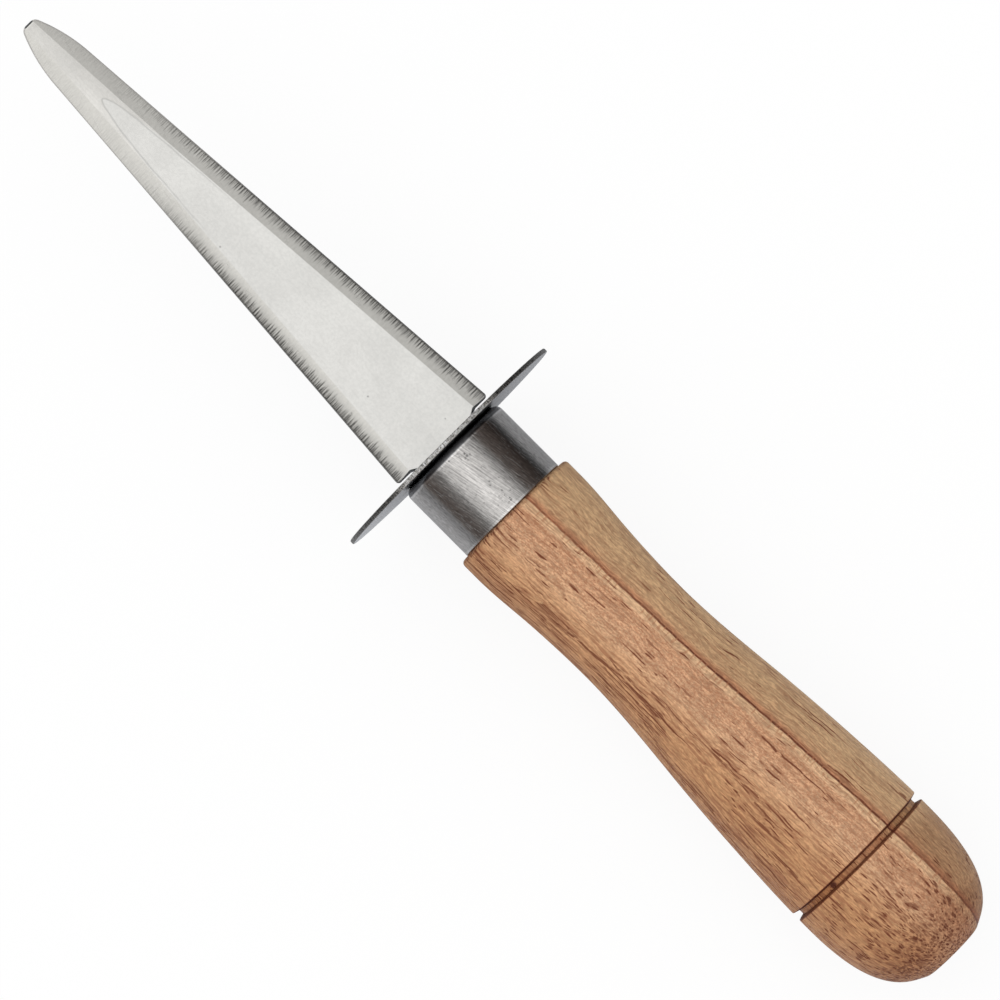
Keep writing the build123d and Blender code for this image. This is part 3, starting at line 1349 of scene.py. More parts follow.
    def material(self, effects: Effects, groove: float, groove_width: float) -> bpy.types.Material:
        """Makes the material.

        Args:
            effects: The shared node groups.
            groove: Where along the handle the turned groove is.
            groove_width: The width of its mouth.

        Returns:
            A new material.
        """
        made, graph, shader = new_material(self.name)
        at = self.locate(graph)
        colour, fibre = self.fibres(graph, effects, at, self.rings(graph, at))
        colour = self.rays(graph, at, colour)
        pores, halo = self.pores(graph, effects, at)
        halo = graph.times(halo, self.halo_strength)
        colour = graph.mix(halo, colour, paint(*self.ray_colour))
        dark = graph.times(pores, self.pore_strength)
        colour = graph.mix(dark, colour, paint(*self.pore_colour))
        colour = self.cuts(graph, at, colour, groove, groove_width)
        graph.feed(shader.inputs["Base Color"], colour)
        rough = graph.remap(pores, 0.0, 1.0, self.roughness, self.pore_roughness)
        graph.feed(shader.inputs["Roughness"], rough)
        shader.inputs["Specular IOR Level"].default_value = self.specular
        height = graph.minus(graph.times(fibre, self.fibre_height), pores)
        graph.feed(shader.inputs["Normal"], graph.bump(height, self.pore_depth))
        return made


@dataclass(frozen=True)
class CementFinish:
    """Hard filled resin, poured round the tang."""

    name: str = "poured_cement"
    dark: Colour = (128, 106, 78)
    pale: Colour = (162, 140, 108)
    cloud_scale: float = 0.6
    bubble_scale: float = 0.9
    bubble_size: float = 0.2
    bubble_share: float = 0.4
    roughness: Span = (0.55, 0.7)
    depth: float = 0.05

    def material(self, effects: Effects) -> bpy.types.Material:
        """Makes the material.

        Args:
            effects: The shared node groups.

        Returns:
            A new material.
        """
        made, graph, shader = new_material(self.name)
        place = graph.millimetres()
        cloud = graph.remap(graph.noise(place, self.cloud_scale, 4.0), *NOISE_RANGE)
        spaced = graph.place(place, (self.bubble_scale,) * 3)
        size, share = self.bubble_size, self.bubble_share
        bubbles = graph.group(effects.pits, place=spaced, size=size, share=share)["Mask"]
        colour = graph.mix(cloud, paint(*self.dark), paint(*self.pale))
        graph.feed(shader.inputs["Base Color"], colour)
        graph.feed(shader.inputs["Roughness"], graph.remap(cloud, 0.0, 1.0, *self.roughness))
        height = graph.minus(cloud, bubbles)
        graph.feed(shader.inputs["Normal"], graph.bump(height, self.depth))
        return made


def smooth_points(points: Sequence[Vector], start: Vector, end: Vector, steps: int) -> list[Vector]:
    """Runs a curve of even bending through points.

    Args:
        points: The points, in order.
        start: The curve's direction at the first point.
        end: Its direction at the last.
        steps: How many lengths each stretch is divided into.

    Returns:
        The points of the curve, ends included.
    """
    count = len(points)
    lengths = [(b - a).length for a, b in zip(points, points[1:])]
    matrix = np.eye(count)
    first, last = tuple(start.normalized()), tuple(end.normalized())
    sides = np.array([first, *[(0.0, 0.0, 0.0)] * (count - 2), last])
    for i in range(1, count - 1):
        before, after = lengths[i - 1], lengths[i]
        matrix[i, i - 1 : i + 2] = after, 2 * (before + after), before
        slope_before = (points[i] - points[i - 1]) / before
        slope_after = (points[i + 1] - points[i]) / after
        sides[i] = 3 * (after * slope_before + before * slope_after)
    slopes = [Vector(row) for row in np.linalg.solve(matrix, sides)]
    curve = [points[0]]
    for i, length in enumerate(lengths):
        first, last = points[i], points[i + 1]
        handles = first + slopes[i] * length / 3, last - slopes[i + 1] * length / 3
        curve += interpolate_bezier(first, *handles, last, steps + 1)[1:]
    return curve


def only_verts(geometry: Iterable[object]) -> list[bmesh.types.BMVert]:
    """Returns the vertices among what a mesh operator gave back."""
    return [item for item in geometry if isinstance(item, bmesh.types.BMVert)]


class Turning:
    """A mesh that is spun round the knife's axis from a profile of places along it and radii.

    The points that it adds beside each rounded corner, at the distance hold, keep the long sides
    straight in shade.
    """

    hold = 0.04

    def __init__(self, profile: Iterable[tuple[float, float]], closed: bool = False) -> None:
        """Starts from a profile.

        Args:
            profile: The places along the axis and the radii there, in millimetres.
            closed: Whether the last point joins the first.
        """
        self.mesh = bmesh.new()
        self.corners = [self.mesh.verts.new((along, 0.0, radius)) for along, radius in profile]
        for first, last in zip(self.corners, self.corners[1:]):
            self.mesh.edges.new((first, last))
        if closed:
            self.mesh.edges.new((self.corners[-1], self.corners[0]))

    def round_corner(self, index: int, radius: float, segments: int) -> None:
        """Rounds one corner of the profile with an arc.

        Args:
            index: Which point of the profile it is.
            radius: The arc's radius.
            segments: How many straight lengths the arc has.
        """
        corner = self.corners[index]
        before, after = (edge.other_vert(corner).co - corner.co for edge in corner.link_edges)
        turned = math.pi - before.angle(after)
        reach = radius * math.tan(turned / 2) + self.hold
        for edge in list(corner.link_edges):
            if edge.calc_length() > 2 * reach:
                bmesh.utils.edge_split(edge, corner, reach / edge.calc_length())
        bmesh.ops.bevel(
            self.mesh,
            geom=[corner],
            offset=radius * math.tan(turned / 2),
            affect="VERTICES",
            segments=segments,
            profile=0.5,
            material=-1,
        )

    def spin(self, steps: int) -> bmesh.types.BMesh:
        """Spins the profile round the axis.

        Args:
            steps: How many faces go round.

        Returns:
            The mesh, still in millimetres.
        """
        bmesh.ops.spin(
            self.mesh,
            geom=self.mesh.verts[:] + self.mesh.edges[:],
            cent=(0.0, 0.0, 0.0),
            axis=(1.0, 0.0, 0.0),
            dvec=(0.0, 0.0, 0.0),
            angle=FULL_TURN,
            steps=steps,
            use_merge=True,
        )
        bmesh.ops.remove_doubles(self.mesh, verts=self.mesh.verts[:], dist=1e-4)
        bmesh.ops.recalc_face_normals(self.mesh, faces=self.mesh.faces[:])
        return self.mesh


def cut_slot(mesh: bmesh.types.BMesh, width: float, height: float) -> None:
    """Closes a turning that is open in the middle with a web that has a slot through it.

    Args:
        mesh: The turning, with one open ring at its front and one at its back.
        width: The slot's width across the knife.
        height: The slot's height.
    """
    open_edges = [edge for edge in mesh.edges if edge.is_boundary]
    faces = sorted({round(edge.verts[0].co.x, 4) for edge in open_edges})
    rims = []
    for along in faces:
        ring = [edge for edge in open_edges if abs(edge.verts[0].co.x - along) < 1e-3]
        corners = [
            mesh.verts.new((along, side * width / 2, rise * height / 2))
            for side, rise in ((1, 1), (-1, 1), (-1, -1), (1, -1))
        ]
        sides = [mesh.edges.new((a, b)) for a, b in zip(corners, corners[1:] + corners[:1])]
        cuts = len(ring) // len(sides) - 1
        divided = bmesh.ops.subdivide_edges(mesh, edges=sides, cuts=cuts)["geom_inner"]
        rim = {edge for vert in only_verts(divided) for edge in vert.link_edges}
        bmesh.ops.bridge_loops(mesh, edges=ring + list(rim))
        rims.append(rim)
    bmesh.ops.bridge_loops(mesh, edges=list(rims[0] | rims[1]))
    bmesh.ops.recalc_face_normals(mesh, faces=mesh.faces[:])


def placed(name: str, data: bpy.types.ID) -> bpy.types.Object:
    """Puts an object in the scene, at the origin.

    Args:
        name: The object's name.
        data: Its mesh or its camera.

    Returns:
        The object.
    """
    made = bpy.data.objects.new(name, data)
    bpy.context.scene.collection.objects.link(made)
    return made


def as_object(
    name: str, mesh: bmesh.types.BMesh, materials: Sequence[bpy.types.Material] = ()
) -> bpy.types.Object:
    """Turns a mesh into an object.

    Args:
        name: The object's name.
        mesh: The mesh, which is used up.
        materials: Its materials, in the order of the faces' indices.

    Returns:
        The object, at the origin.
    """
    data = bpy.data.meshes.new(name)
    mesh.to_mesh(data)
    mesh.free()
    for material in materials:
        data.materials.append(material)
    return placed(name, data)


def finished(
    name: str,
    mesh: bmesh.types.BMesh,
    materials: Sequence[bpy.types.Material],
    crease: float = 30.0,
) -> bpy.types.Object:
    """Turns a mesh in millimetres into a finished object.

    Args:
        name: The object's name.
        mesh: The mesh, which is used up.
        materials: Its materials, in the order of the faces' indices.
        crease: The angle in degrees above which an edge stays crisp.

    Returns:
        The object, at the origin.
    """
    bmesh.ops.scale(mesh, vec=(MM,) * 3, verts=mesh.verts[:])
    for face in mesh.faces:
        face.smooth = True
    for edge in mesh.edges:
        if len(edge.link_faces) == 2:
            first, second = edge.link_faces
            crisp = first.normal.angle(second.normal, 0.0) > math.radians(crease)
            edge.smooth = not crisp and first.material_index == second.material_index
    return as_object(name, mesh, materials)


def report(piece: bpy.types.Object) -> None:
    """Logs a piece's faces and size."""
    size = " x ".join(f"{side / MM:.2f}" for side in piece.dimensions)
    LOG.info("%s: %d faces, %s mm", piece.name, len(piece.data.polygons), size)


@dataclass
class Handle:
    """The turned handle, from its butt to its tenon.

    Places are measured from the butt, in millimetres. Each table of shares shapes one stretch of
    the outline: shares of the way along it, with the shares of its rise or fall.
    """

    length: float = 80.35
    butt_radius: float = 4.3
    butt_edge: float = 1.6
    belly_place: float = 15.75
    belly_radius: float = 11.1
    waist_place: float = 58.25
    waist_radius: float = 8.475
    collar_place: float = 77.7
    collar_radius: float = 9.475
    collar_edge: float = 0.6
    tenon_radius: float = 7.56
    tenon_front: float = 90.9
    tenon_chamfer: float = 0.6
    bore_radius: float = 4.7
    bore_end: float = 42.5
    groove_place: float = 17.45
    groove_mouth: float = 1.25
    groove_floor: float = 0.72
    groove_depth: float = 0.95
    groove_lip: float = 0.12
    dome_lean: tuple[float, float] = (0.5, 1.0)
    dome_shares: Table = ((0.10, 0.40), (0.26, 0.70), (0.50, 0.90))
    swell_shares: Table = ((0.27, 0.15), (0.55, 0.47), (0.80, 0.85))
    flare_shares: Table = ((0.33, 0.16), (0.60, 0.50), (0.86, 0.92))
    dome_steps: int = 9
    swell_steps: int = 12
    flare_steps: int = 7
    corner_segments: int = 6
    lip_segments: int = 3
    steps: int = 160

    def stretch(
        self, start: Vector, end: Vector, shares: Table, lean: Vector, steps: int
    ) -> list[Vector]:
        """Draws one stretch of the outline, which ends level.

        Args:
            start: Where it starts.
            end: Where it ends.
            shares: Points between, as shares of the way along it and of its rise or fall.
            lean: The direction in which it starts.
            steps: How many lengths lie between two points.

        Returns:
            The points of the stretch.
        """
        between = [
            Vector((start.x + along * (end.x - start.x), 0.0, start.z + rise * (end.z - start.z)))
            for along, rise in shares
        ]
        return smooth_points([start, *between, end], lean, Vector((1.0, 0.0, 0.0)), steps)

    def outline(self) -> list[Vector]:
        """Draws the outside of the handle from the butt's corner to the collar.

        Returns:
            Its points.
        """
        butt = Vector((0.0, 0.0, self.butt_radius))
        belly = Vector((self.belly_place, 0.0, self.belly_radius))
        waist = Vector((self.waist_place, 0.0, self.waist_radius))
        collar = Vector((self.collar_place, 0.0, self.collar_radius))
        level = Vector((1.0, 0.0, 0.0))
        lean = Vector((self.dome_lean[0], 0.0, self.dome_lean[1]))
        dome = self.stretch(butt, belly, self.dome_shares, lean, self.dome_steps)
        swell = self.stretch(belly, waist, self.swell_shares, level, self.swell_steps)
        flare = self.stretch(waist, collar, self.flare_shares, level, self.flare_steps)
        return dome + swell[1:] + flare[1:]

    def build(self, finish: bpy.types.Material) -> bpy.types.Object:
        """Turns the handle and dresses it.

        Args:
            finish: The wood's material.

        Returns:
            The handle.
        """
        outline = [(point.x, point.z) for point in self.outline()]
        half_mouth, half_floor = self.groove_mouth / 2, self.groove_floor / 2
        lips = self.groove_place - half_mouth, self.groove_place + half_mouth
        floor = self.groove_place - half_floor, self.groove_place + half_floor
        before = [point for point in outline if point[0] < lips[0]]
        after = [point for point in outline if point[0] > lips[1]]
        bottom = self.belly_radius - self.groove_depth
        groove = [
            (lips[0], self.belly_radius),
            (floor[0], bottom),
            (floor[1], bottom),
            (lips[1], after[0][1]),
        ]
        front = [
            (self.length, self.collar_radius),
            (self.length, self.tenon_radius),
            (self.tenon_front - self.tenon_chamfer, self.tenon_radius),
            (self.tenon_front, self.tenon_radius - self.tenon_chamfer),
            (self.tenon_front, self.bore_radius),
            (self.bore_end, self.bore_radius),
            (self.bore_end, 0.0),
        ]
        turning = Turning([(0.0, 0.0), *before, *groove, *after, *front])
        turning.round_corner(1, self.butt_edge, self.corner_segments)
        for index in (len(before) + 1, len(before) + 4):
            turning.round_corner(index, self.groove_lip, self.lip_segments)
        collar = len(before) + len(after) + 5
        turning.round_corner(collar, self.collar_edge, self.corner_segments)
        piece = finished("turned_handle", turning.spin(self.steps), [finish])
        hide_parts("handle")
        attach(piece, BODY)
        return piece


@dataclass
class Fittings:
    """The drawn ferrule and the guard plate, both slotted for the tang, in millimetres."""

    back: float = 80.35
    front: float = 91.9
    radius: float = 8.3
    wall: float = 0.7
    nose: float = 1.1
    inner_nose: float = 0.4
    rim: float = 0.25
    guard_radius: float = 17.7
    guard_thickness: float = 0.6
    guard_rim: float = 0.15
    web_radius: float = 5.0
    slot_width: float = 8.1
    slot_height: float = 2.4
    ferrule_segments: int = 8
    guard_segments: int = 4
    guard_crease: float = 40.0
    steps: int = 192

    def build_ferrule(self, finish: bpy.types.Material) -> bpy.types.Object:
        """Draws the ferrule and dresses it.

        Args:
            finish: Its finish.

        Returns:
            The ferrule.
        """
        profile = [
            (self.front, self.web_radius),
            (self.front, self.radius),
            (self.back, self.radius),
            (self.back, self.radius - self.wall),
            (self.front - self.wall, self.radius - self.wall),
            (self.front - self.wall, self.web_radius),
        ]
        turning = Turning(profile)
        for index, radius in ((1, self.nose), (2, self.rim), (4, self.inner_nose)):
            turning.round_corner(index, radius, self.ferrule_segments)
        mesh = turning.spin(self.steps)
        cut_slot(mesh, self.slot_width, self.slot_height)
        piece = finished("drawn_ferrule", mesh, [finish])
        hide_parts("ferrule")
        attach(piece, BODY)
        return piece

    def build_guard(self, face: bpy.types.Material, rim: bpy.types.Material) -> bpy.types.Object:
        """Stamps the guard plate.

        Args:
            face: The finish of its faces.
            rim: The finish of its sheared rim.

        Returns:
            The guard.
        """
        front = self.front + self.guard_thickness
        profile = [
            (front, self.web_radius),
            (front, self.guard_radius),
            (self.front, self.guard_radius),
            (self.front, self.web_radius),
        ]
        turning = Turning(profile)
        for index in (1, 2):
            turning.round_corner(index, self.guard_rim, self.guard_segments)
        mesh = turning.spin(self.steps)
        cut_slot(mesh, self.slot_width, self.slot_height)
        for edge_face in mesh.faces:
            place = edge_face.calc_center_median()
            if math.hypot(place.y, place.z) > self.guard_radius - self.guard_rim:
                edge_face.material_index = 1
        piece = finished("guard_plate", mesh, [face, rim], self.guard_crease)
        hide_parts("guard")
        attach(piece, BODY)
        return piece


class Ground(IntEnum):
    """The kinds of face on the blade, which are also the numbers of its materials."""

    FLAT = 0
    BEVEL = 1
    NOSE = 2
    EDGE = 3


@dataclass
class Blade:
    """The ground blade with its root and tang, in millimetres.

    Points closer than a merge become one, and faces that turn by less than flat_degrees become
    one face.
    """

    heel: float = 93.25
    tip: float = 169.55
    thickness: float = 2.2
    heel_width: float = 16.3
    heel_corner: float = 0.5
    nose_length: float = 8.0
    nose_root_width: float = 6.2
    nose_tip_width: float = 2.1
    nose_corner: float = 1.0
    edge_lean: float = 0.3
    bevel_width: float = 2.25
    edge_thickness: float = 0.9
    flat_end_setback: float = 13.9
    tip_thickness: float = 1.98
    tip_crown_radius: float = 17.5
    heel_crown_radius: float = 41.4
    guard_front: float = 92.5
    tang_width: float = 7.9
    tang_end: float = 44.5
    tang_end_width: float = 4.6
    root_chamfer: float = 0.4
    crown_steps: int = 30
    crown_pitch: float = 0.5
    corner_steps: int = 8
    nose_steps: int = 10
    spare: float = 1.0
    on_plane: float = 1e-4
    cut_merge: float = 2e-4
    end_merge: float = 1e-3
    flat_degrees: float = 0.02
    crease: float = 12.0

    def grind(self, mesh: bmesh.types.BMesh, point: Vector, normal: Vector, kind: Ground) -> None:
        """Grinds the blank away on the outer side of a plane.

        Args:
            mesh: The blank.
            point: A point of the plane.
            normal: The way out of the steel.
            kind: The kind of face that the cut leaves.
        """
        geometry = mesh.verts[:] + mesh.edges[:] + mesh.faces[:]
        bmesh.ops.bisect_plane(
            mesh,
            geom=geometry,
            dist=self.on_plane,
            plane_co=point,
            plane_no=normal,
            clear_outer=True,
        )
        bmesh.ops.remove_doubles(mesh, verts=mesh.verts[:], dist=self.cut_merge)
        rim = [edge for edge in mesh.edges if edge.is_boundary]
        for face in bmesh.ops.holes_fill(mesh, edges=rim, sides=0)["faces"] if rim else ():
            face.material_index = kind

    def edge_direction(self) -> Vector:
        """Returns the direction of the +Y edge in plan, from the heel to the nose."""
        heel = Vector((self.heel, self.heel_width / 2))
        return (Vector((self.tip - self.nose_length, self.nose_root_width / 2)) - heel).normalized()

    def arc_planes(
        self, centre: Vector, radius: float, start: float, end: float, steps: int
    ) -> list[Plane]:
        """Lists the planes that touch an arc of the plan.

        Args:
            centre: The arc's centre.
            radius: Its radius.
            start: The angle from +X at which it starts, in radians.
            end: The angle at which it ends.
            steps: How many lengths it is divided into.

        Returns:
            A point and an outward direction for each plane, in plan.
        """
        planes = []
        for step in range(steps + 1):
            angle = start + (end - start) * step / steps
            outward = Vector((math.cos(angle), math.sin(angle)))
            planes.append((centre + outward * radius, outward))
        return planes

    def plan_planes(self) -> list[Plane]:
        """Lists the planes that stand on the +Y half of the blade's plan.

        Returns:
            A point and an outward direction for each plane, in plan.
        """
        along = self.edge_direction()
        outward = Vector((-along.y, along.x))
        nose_root = Vector((self.tip - self.nose_length, self.nose_root_width / 2))
        tip_corner = Vector((self.tip, self.nose_tip_width / 2))
        chord = tip_corner - nose_root
        radius = chord.length_squared / (2 * chord.dot(-outward))
        centre = nose_root - outward * radius
        reach = self.tip - self.nose_corner - centre.x
        rise = math.sqrt((radius - self.nose_corner) ** 2 - reach**2)
        corner_centre = Vector((self.tip - self.nose_corner, centre.y + rise))
        meeting = math.atan2(corner_centre.y - centre.y, corner_centre.x - centre.x)
        edge_angle = math.atan2(outward.y, outward.x)
        back = self.heel + self.heel_corner
        edge_there = nose_root + along * (back - nose_root.x) / along.x
        heel_centre = Vector((back, edge_there.y - self.heel_corner / outward.y))
        return [
            (Vector((self.tip, 0.0)), Vector((1.0, 0.0))),
            *self.arc_planes(corner_centre, self.nose_corner, 0.0, meeting, self.corner_steps),
            *self.arc_planes(centre, radius, meeting, edge_angle, self.nose_steps),
            *self.arc_planes(
                heel_centre, self.heel_corner, edge_angle, math.pi, self.corner_steps
            ),
            (Vector((self.heel, 0.0)), Vector((-1.0, 0.0))),
        ]

    def bevel_plane(self) -> Plane:
        """Lays the plane of the +Y bevel of the upper face.

        Returns:
            A point of it and its outward direction.
        """
        along = self.edge_direction().to_3d()
        outward = Vector((-along.y, along.x, 0.0))
        top, bottom = self.thickness / 2, self.edge_thickness / 2
        edge = Vector((self.tip - self.nose_length, self.nose_root_width / 2, bottom))
        down = outward * self.bevel_width + Vector((0.0, 0.0, bottom - top))
        return edge, along.cross(down).normalized()

    def crown_planes(self) -> list[Plane]:
        """Lists the planes that touch the crowned grinding of the upper face.

        Returns:
            A point and an outward direction for each plane.
        """
        narrowing = (self.heel_crown_radius - self.tip_crown_radius) / (self.tip - self.heel)
        fall = (self.thickness - self.tip_thickness) / 2 / self.flat_end_setback
        tip_axis = self.tip_thickness / 2 - self.tip_crown_radius
        planes = []
        for step in range(-self.crown_steps, self.crown_steps + 1):
            angle = math.radians(step * self.crown_pitch)
            outward = Vector((0.0, math.sin(angle), math.cos(angle)))
            point = Vector((self.tip, 0.0, tip_axis)) + outward * self.tip_crown_radius
            ridge = Vector((1.0, 0.0, narrowing - fall)) - outward * narrowing
            round_it = Vector((0.0, math.cos(angle), -math.sin(angle)))
            planes.append((point, ridge.cross(round_it).normalized()))
        return planes

    def root_and_tang(self) -> bpy.types.Object:
        """Makes the root behind the shoulders and the tapered tang, as one bar.

        Returns:
            An object that only serves to be joined to the blade.
        """
        mesh = bmesh.new()
        flat = self.heel_width / 2 - self.bevel_width
        inside = self.heel + self.edge_lean * 2
        half = [
            (inside, flat),
            (self.heel, flat),
            (self.guard_front, self.tang_width / 2),
            (self.tang_end, self.tang_end_width / 2),
        ]
        corners = half + [(along, -across) for along, across in reversed(half)]
        outline = [mesh.verts.new((x, y, -self.thickness / 2)) for x, y in corners]
        raised = bmesh.ops.extrude_face_region(mesh, geom=[mesh.faces.new(outline)])["geom"]
        bmesh.ops.translate(mesh, vec=(0.0, 0.0, self.thickness), verts=only_verts(raised))
        slant = {round(self.heel, 3), round(self.guard_front, 3)}
        slanted = [
            edge for edge in mesh.edges if {round(vert.co.x, 3) for vert in edge.verts} == slant
        ]
        bmesh.ops.bevel(
            mesh,
            geom=slanted,
            offset=self.root_chamfer,
            affect="EDGES",
            segments=1,
            profile=0.5,
            material=-1,
        )
        bmesh.ops.recalc_face_normals(mesh, faces=mesh.faces[:])
        return as_object("root_and_tang", mesh)

    def ground_blank(self) -> bmesh.types.BMesh:
        """Grinds a flat bar down to the blade, without its root and tang.

        Returns:
            The mesh, in millimetres.
        """
        mesh = bmesh.new()
        sides = self.tip - self.heel + self.spare, self.heel_width + self.spare, self.thickness
        middle = Matrix.Translation(((self.heel + self.tip) / 2, 0.0, 0.0))
        bmesh.ops.create_cube(mesh, size=1.0, matrix=middle @ Matrix.Diagonal((*sides, 1.0)))
        lean = self.edge_lean / (self.thickness / 2)
        for face_side in (1, -1):
            for point, outward in self.plan_planes():
                for side in (1, -1):
                    normal = Vector((outward.x, side * outward.y, face_side * lean))
                    self.grind(mesh, Vector((point.x, side * point.y, 0.0)), normal, Ground.EDGE)
            for side in (1, -1):
                turn = Vector((1.0, side, face_side))
                point, outward = self.bevel_plane()
                self.grind(mesh, point * turn, outward * turn, Ground.BEVEL)
            turn = Vector((1.0, 1.0, face_side))
            for point, outward in self.crown_planes():
                self.grind(mesh, point * turn, outward * turn, Ground.NOSE)
        bmesh.ops.remove_doubles(mesh, verts=mesh.verts[:], dist=self.end_merge)
        bmesh.ops.recalc_face_normals(mesh, faces=mesh.faces[:])
        return mesh

    def build(self, finishes: dict[Ground, bpy.types.Material]) -> bpy.types.Object:
        """Grinds the blade and joins its tang.

        Args:
            finishes: The finish of each kind of face.

        Returns:
            The blade.
        """
        materials = [finishes[kind] for kind in Ground]
        whole = as_object("blade_blank", self.ground_blank(), materials)
        tang = self.root_and_tang()
        union = whole.modifiers.new("tang", "BOOLEAN")
        union.operation = "UNION"
        union.solver = "EXACT"
        union.object = tang
        bpy.context.view_layer.update()
        joined = bmesh.new()
        joined.from_object(whole, bpy.context.evaluated_depsgraph_get())
        bmesh.ops.remove_doubles(joined, verts=joined.verts[:], dist=self.end_merge)
        bmesh.ops.dissolve_limit(
            joined,
            angle_limit=math.radians(self.flat_degrees),
            verts=joined.verts[:],
            edges=joined.edges[:],
            delimit={"MATERIAL"},
        )
        for spare in (whole, tang):
            bpy.data.objects.remove(spare)
        piece = finished("ground_blade", joined, materials, self.crease)
        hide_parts("blade")
        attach(piece, BODY)
        return piece


@dataclass
class Studio:
    """The floor, the light and the camera. Lengths are in millimetres."""

    view_centre: Triple = (82.6, 0.2, 0.0)
    view_width: float = 129.35
    foot: tuple[float, float] = (63.85, 0.2)
    camera_height: float = 850.0
    roll_degrees: float = 45.1185
    sensor: float = 36.0
    guard_place: float = 92.2
    guard_radius: float = 17.7
    floor_size: float = 1600.0
    floor_tint: Light = (0.94, 0.96, 1.0, 1.0)
    mirrored_tint: Light = (0.86, 0.86, 0.86, 1.0)
    floor_roughness: float = 0.9
    floor_glow: float = 0.9
    floor_gain: float = 2.5
    floor_levels: Table = (
        (0.0, 0.55), (0.15, 0.46), (0.38, 0.42), (0.6, 0.34), (0.85, 0.22),
        (1.0, 0.22),
    )
    floor_ends: Table = (
        (-100.0, 1.0), (30.0, 1.0), (76.0, 0.4), (180.0, 0.4), (230.0, 1.0),
    )
    floor_sides: Table = (
        (-160.0, 0.2), (-85.0, 0.42), (-62.0, 0.75), (-25.0, 0.72), (20.0, 1.0),
    )
    levels_across: Table = (
        (-180.0, 0.3), (-102.0, 0.12), (-91.0, 0.03), (-81.0, 0.04), (-64.0, 0.08),
        (-48.0, 0.13), (-43.0, 0.2), (-40.0, 0.32), (-32.0, 0.45), (-25.0, 0.63),
        (-18.0, 0.74), (-4.0, 0.84), (4.0, 0.94), (11.0, 1.0), (25.0, 0.8),
        (32.0, 0.72), (40.0, 0.58), (45.0, 0.46), (47.0, 0.22), (55.0, 0.19),
        (64.0, 0.16), (74.0, 0.1), (81.0, 0.1), (102.0, 0.26), (180.0, 0.3),
    )
    room_from_to: Span = (28.0, 52.0)
    room_level: float = 0.42
    dim_tint: Light = (1.0, 0.8, 0.72, 1.0)
    dim_levels: Span = (0.02, 0.25)
    levels_along: Table = (
        (0.0, 1.0), (16.0, 1.0), (24.0, 0.9), (38.0, 0.52), (53.0, 0.19),
        (69.0, 0.09), (90.0, 0.02),
    )
    sky: Ease = (-0.2, 1.0, 0.55, 0.9)
    panel_level: float = 0.5
    panel_left: Span = (-60.0, -10.0)
    panel_right: Ease = (25.0, 75.0, 1.0, 0.0)

    def camera(self) -> bpy.types.Object:
        """Sets the camera over the knife, looking down along -Z with the point to the upper left.

        Returns:
            The camera.
        """
        data = bpy.data.cameras.new("camera")
        centre = Vector(self.view_centre)
        spot = Vector((*self.foot, self.camera_height))
        back = (spot - centre).normalized()
        roll = math.radians(self.roll_degrees)
        up = Vector((math.sin(roll), -math.cos(roll), 0.0))
        right = up.cross(back).normalized()
        turn = Matrix((right, back.cross(right), back)).transposed().to_4x4()
        data.sensor_width = self.sensor
        data.lens = self.sensor * (spot - centre).length / self.view_width
        made = placed("camera", data)
        made.matrix_world = Matrix.Translation(spot * MM) @ turn
        bpy.context.scene.camera = made
        return made

    def tilt(self, handle: bpy.types.Object) -> float:
        """Works out how the floor tilts, to touch the guard's rim and the handle's belly.

        Args:
            handle: The finished handle.

        Returns:
            The angle between the floor and the knife's axis, in radians.
        """
        tilts = []
        for vert in handle.data.vertices:
            back = self.guard_place - vert.co.x / MM
            out = math.hypot(vert.co.y, vert.co.z) / MM
            share = min(1.0, self.guard_radius / math.hypot(back, out))
            tilts.append(math.asin(share) - math.atan2(out, back))
        return min(tilts)

    def floor(self, handle: bpy.types.Object) -> bpy.types.Object:
        """Lays the knife's floor.

        Args:
            handle: The finished handle, which the floor touches.

        Returns:
            The floor.
        """
        tilt = self.tilt(handle)
        turn = Matrix.Rotation(tilt, 3, "Y")
        mesh = bmesh.new()
        bmesh.ops.create_grid(mesh, x_segments=1, y_segments=1, size=self.floor_size / 2)
        bmesh.ops.rotate(mesh, cent=(0.0, 0.0, 0.0), matrix=turn, verts=mesh.verts[:])
        down = Vector((math.sin(tilt), 0.0, math.cos(tilt)))
        touch = Vector((self.guard_place, 0.0, 0.0)) - down * self.guard_radius
        bmesh.ops.translate(mesh, vec=touch, verts=mesh.verts[:])
        made = finished("pale_floor", mesh, [self.floor_material()])
        return made

    def floor_material(self) -> bpy.types.Material:
        """Makes the white floor, which keeps a faint shadow and is see-through from below.

        Returns:
            A new material.
        """
        made, graph, shader = new_material("pale_floor")
        rays = graph.node("ShaderNodeLightPath")
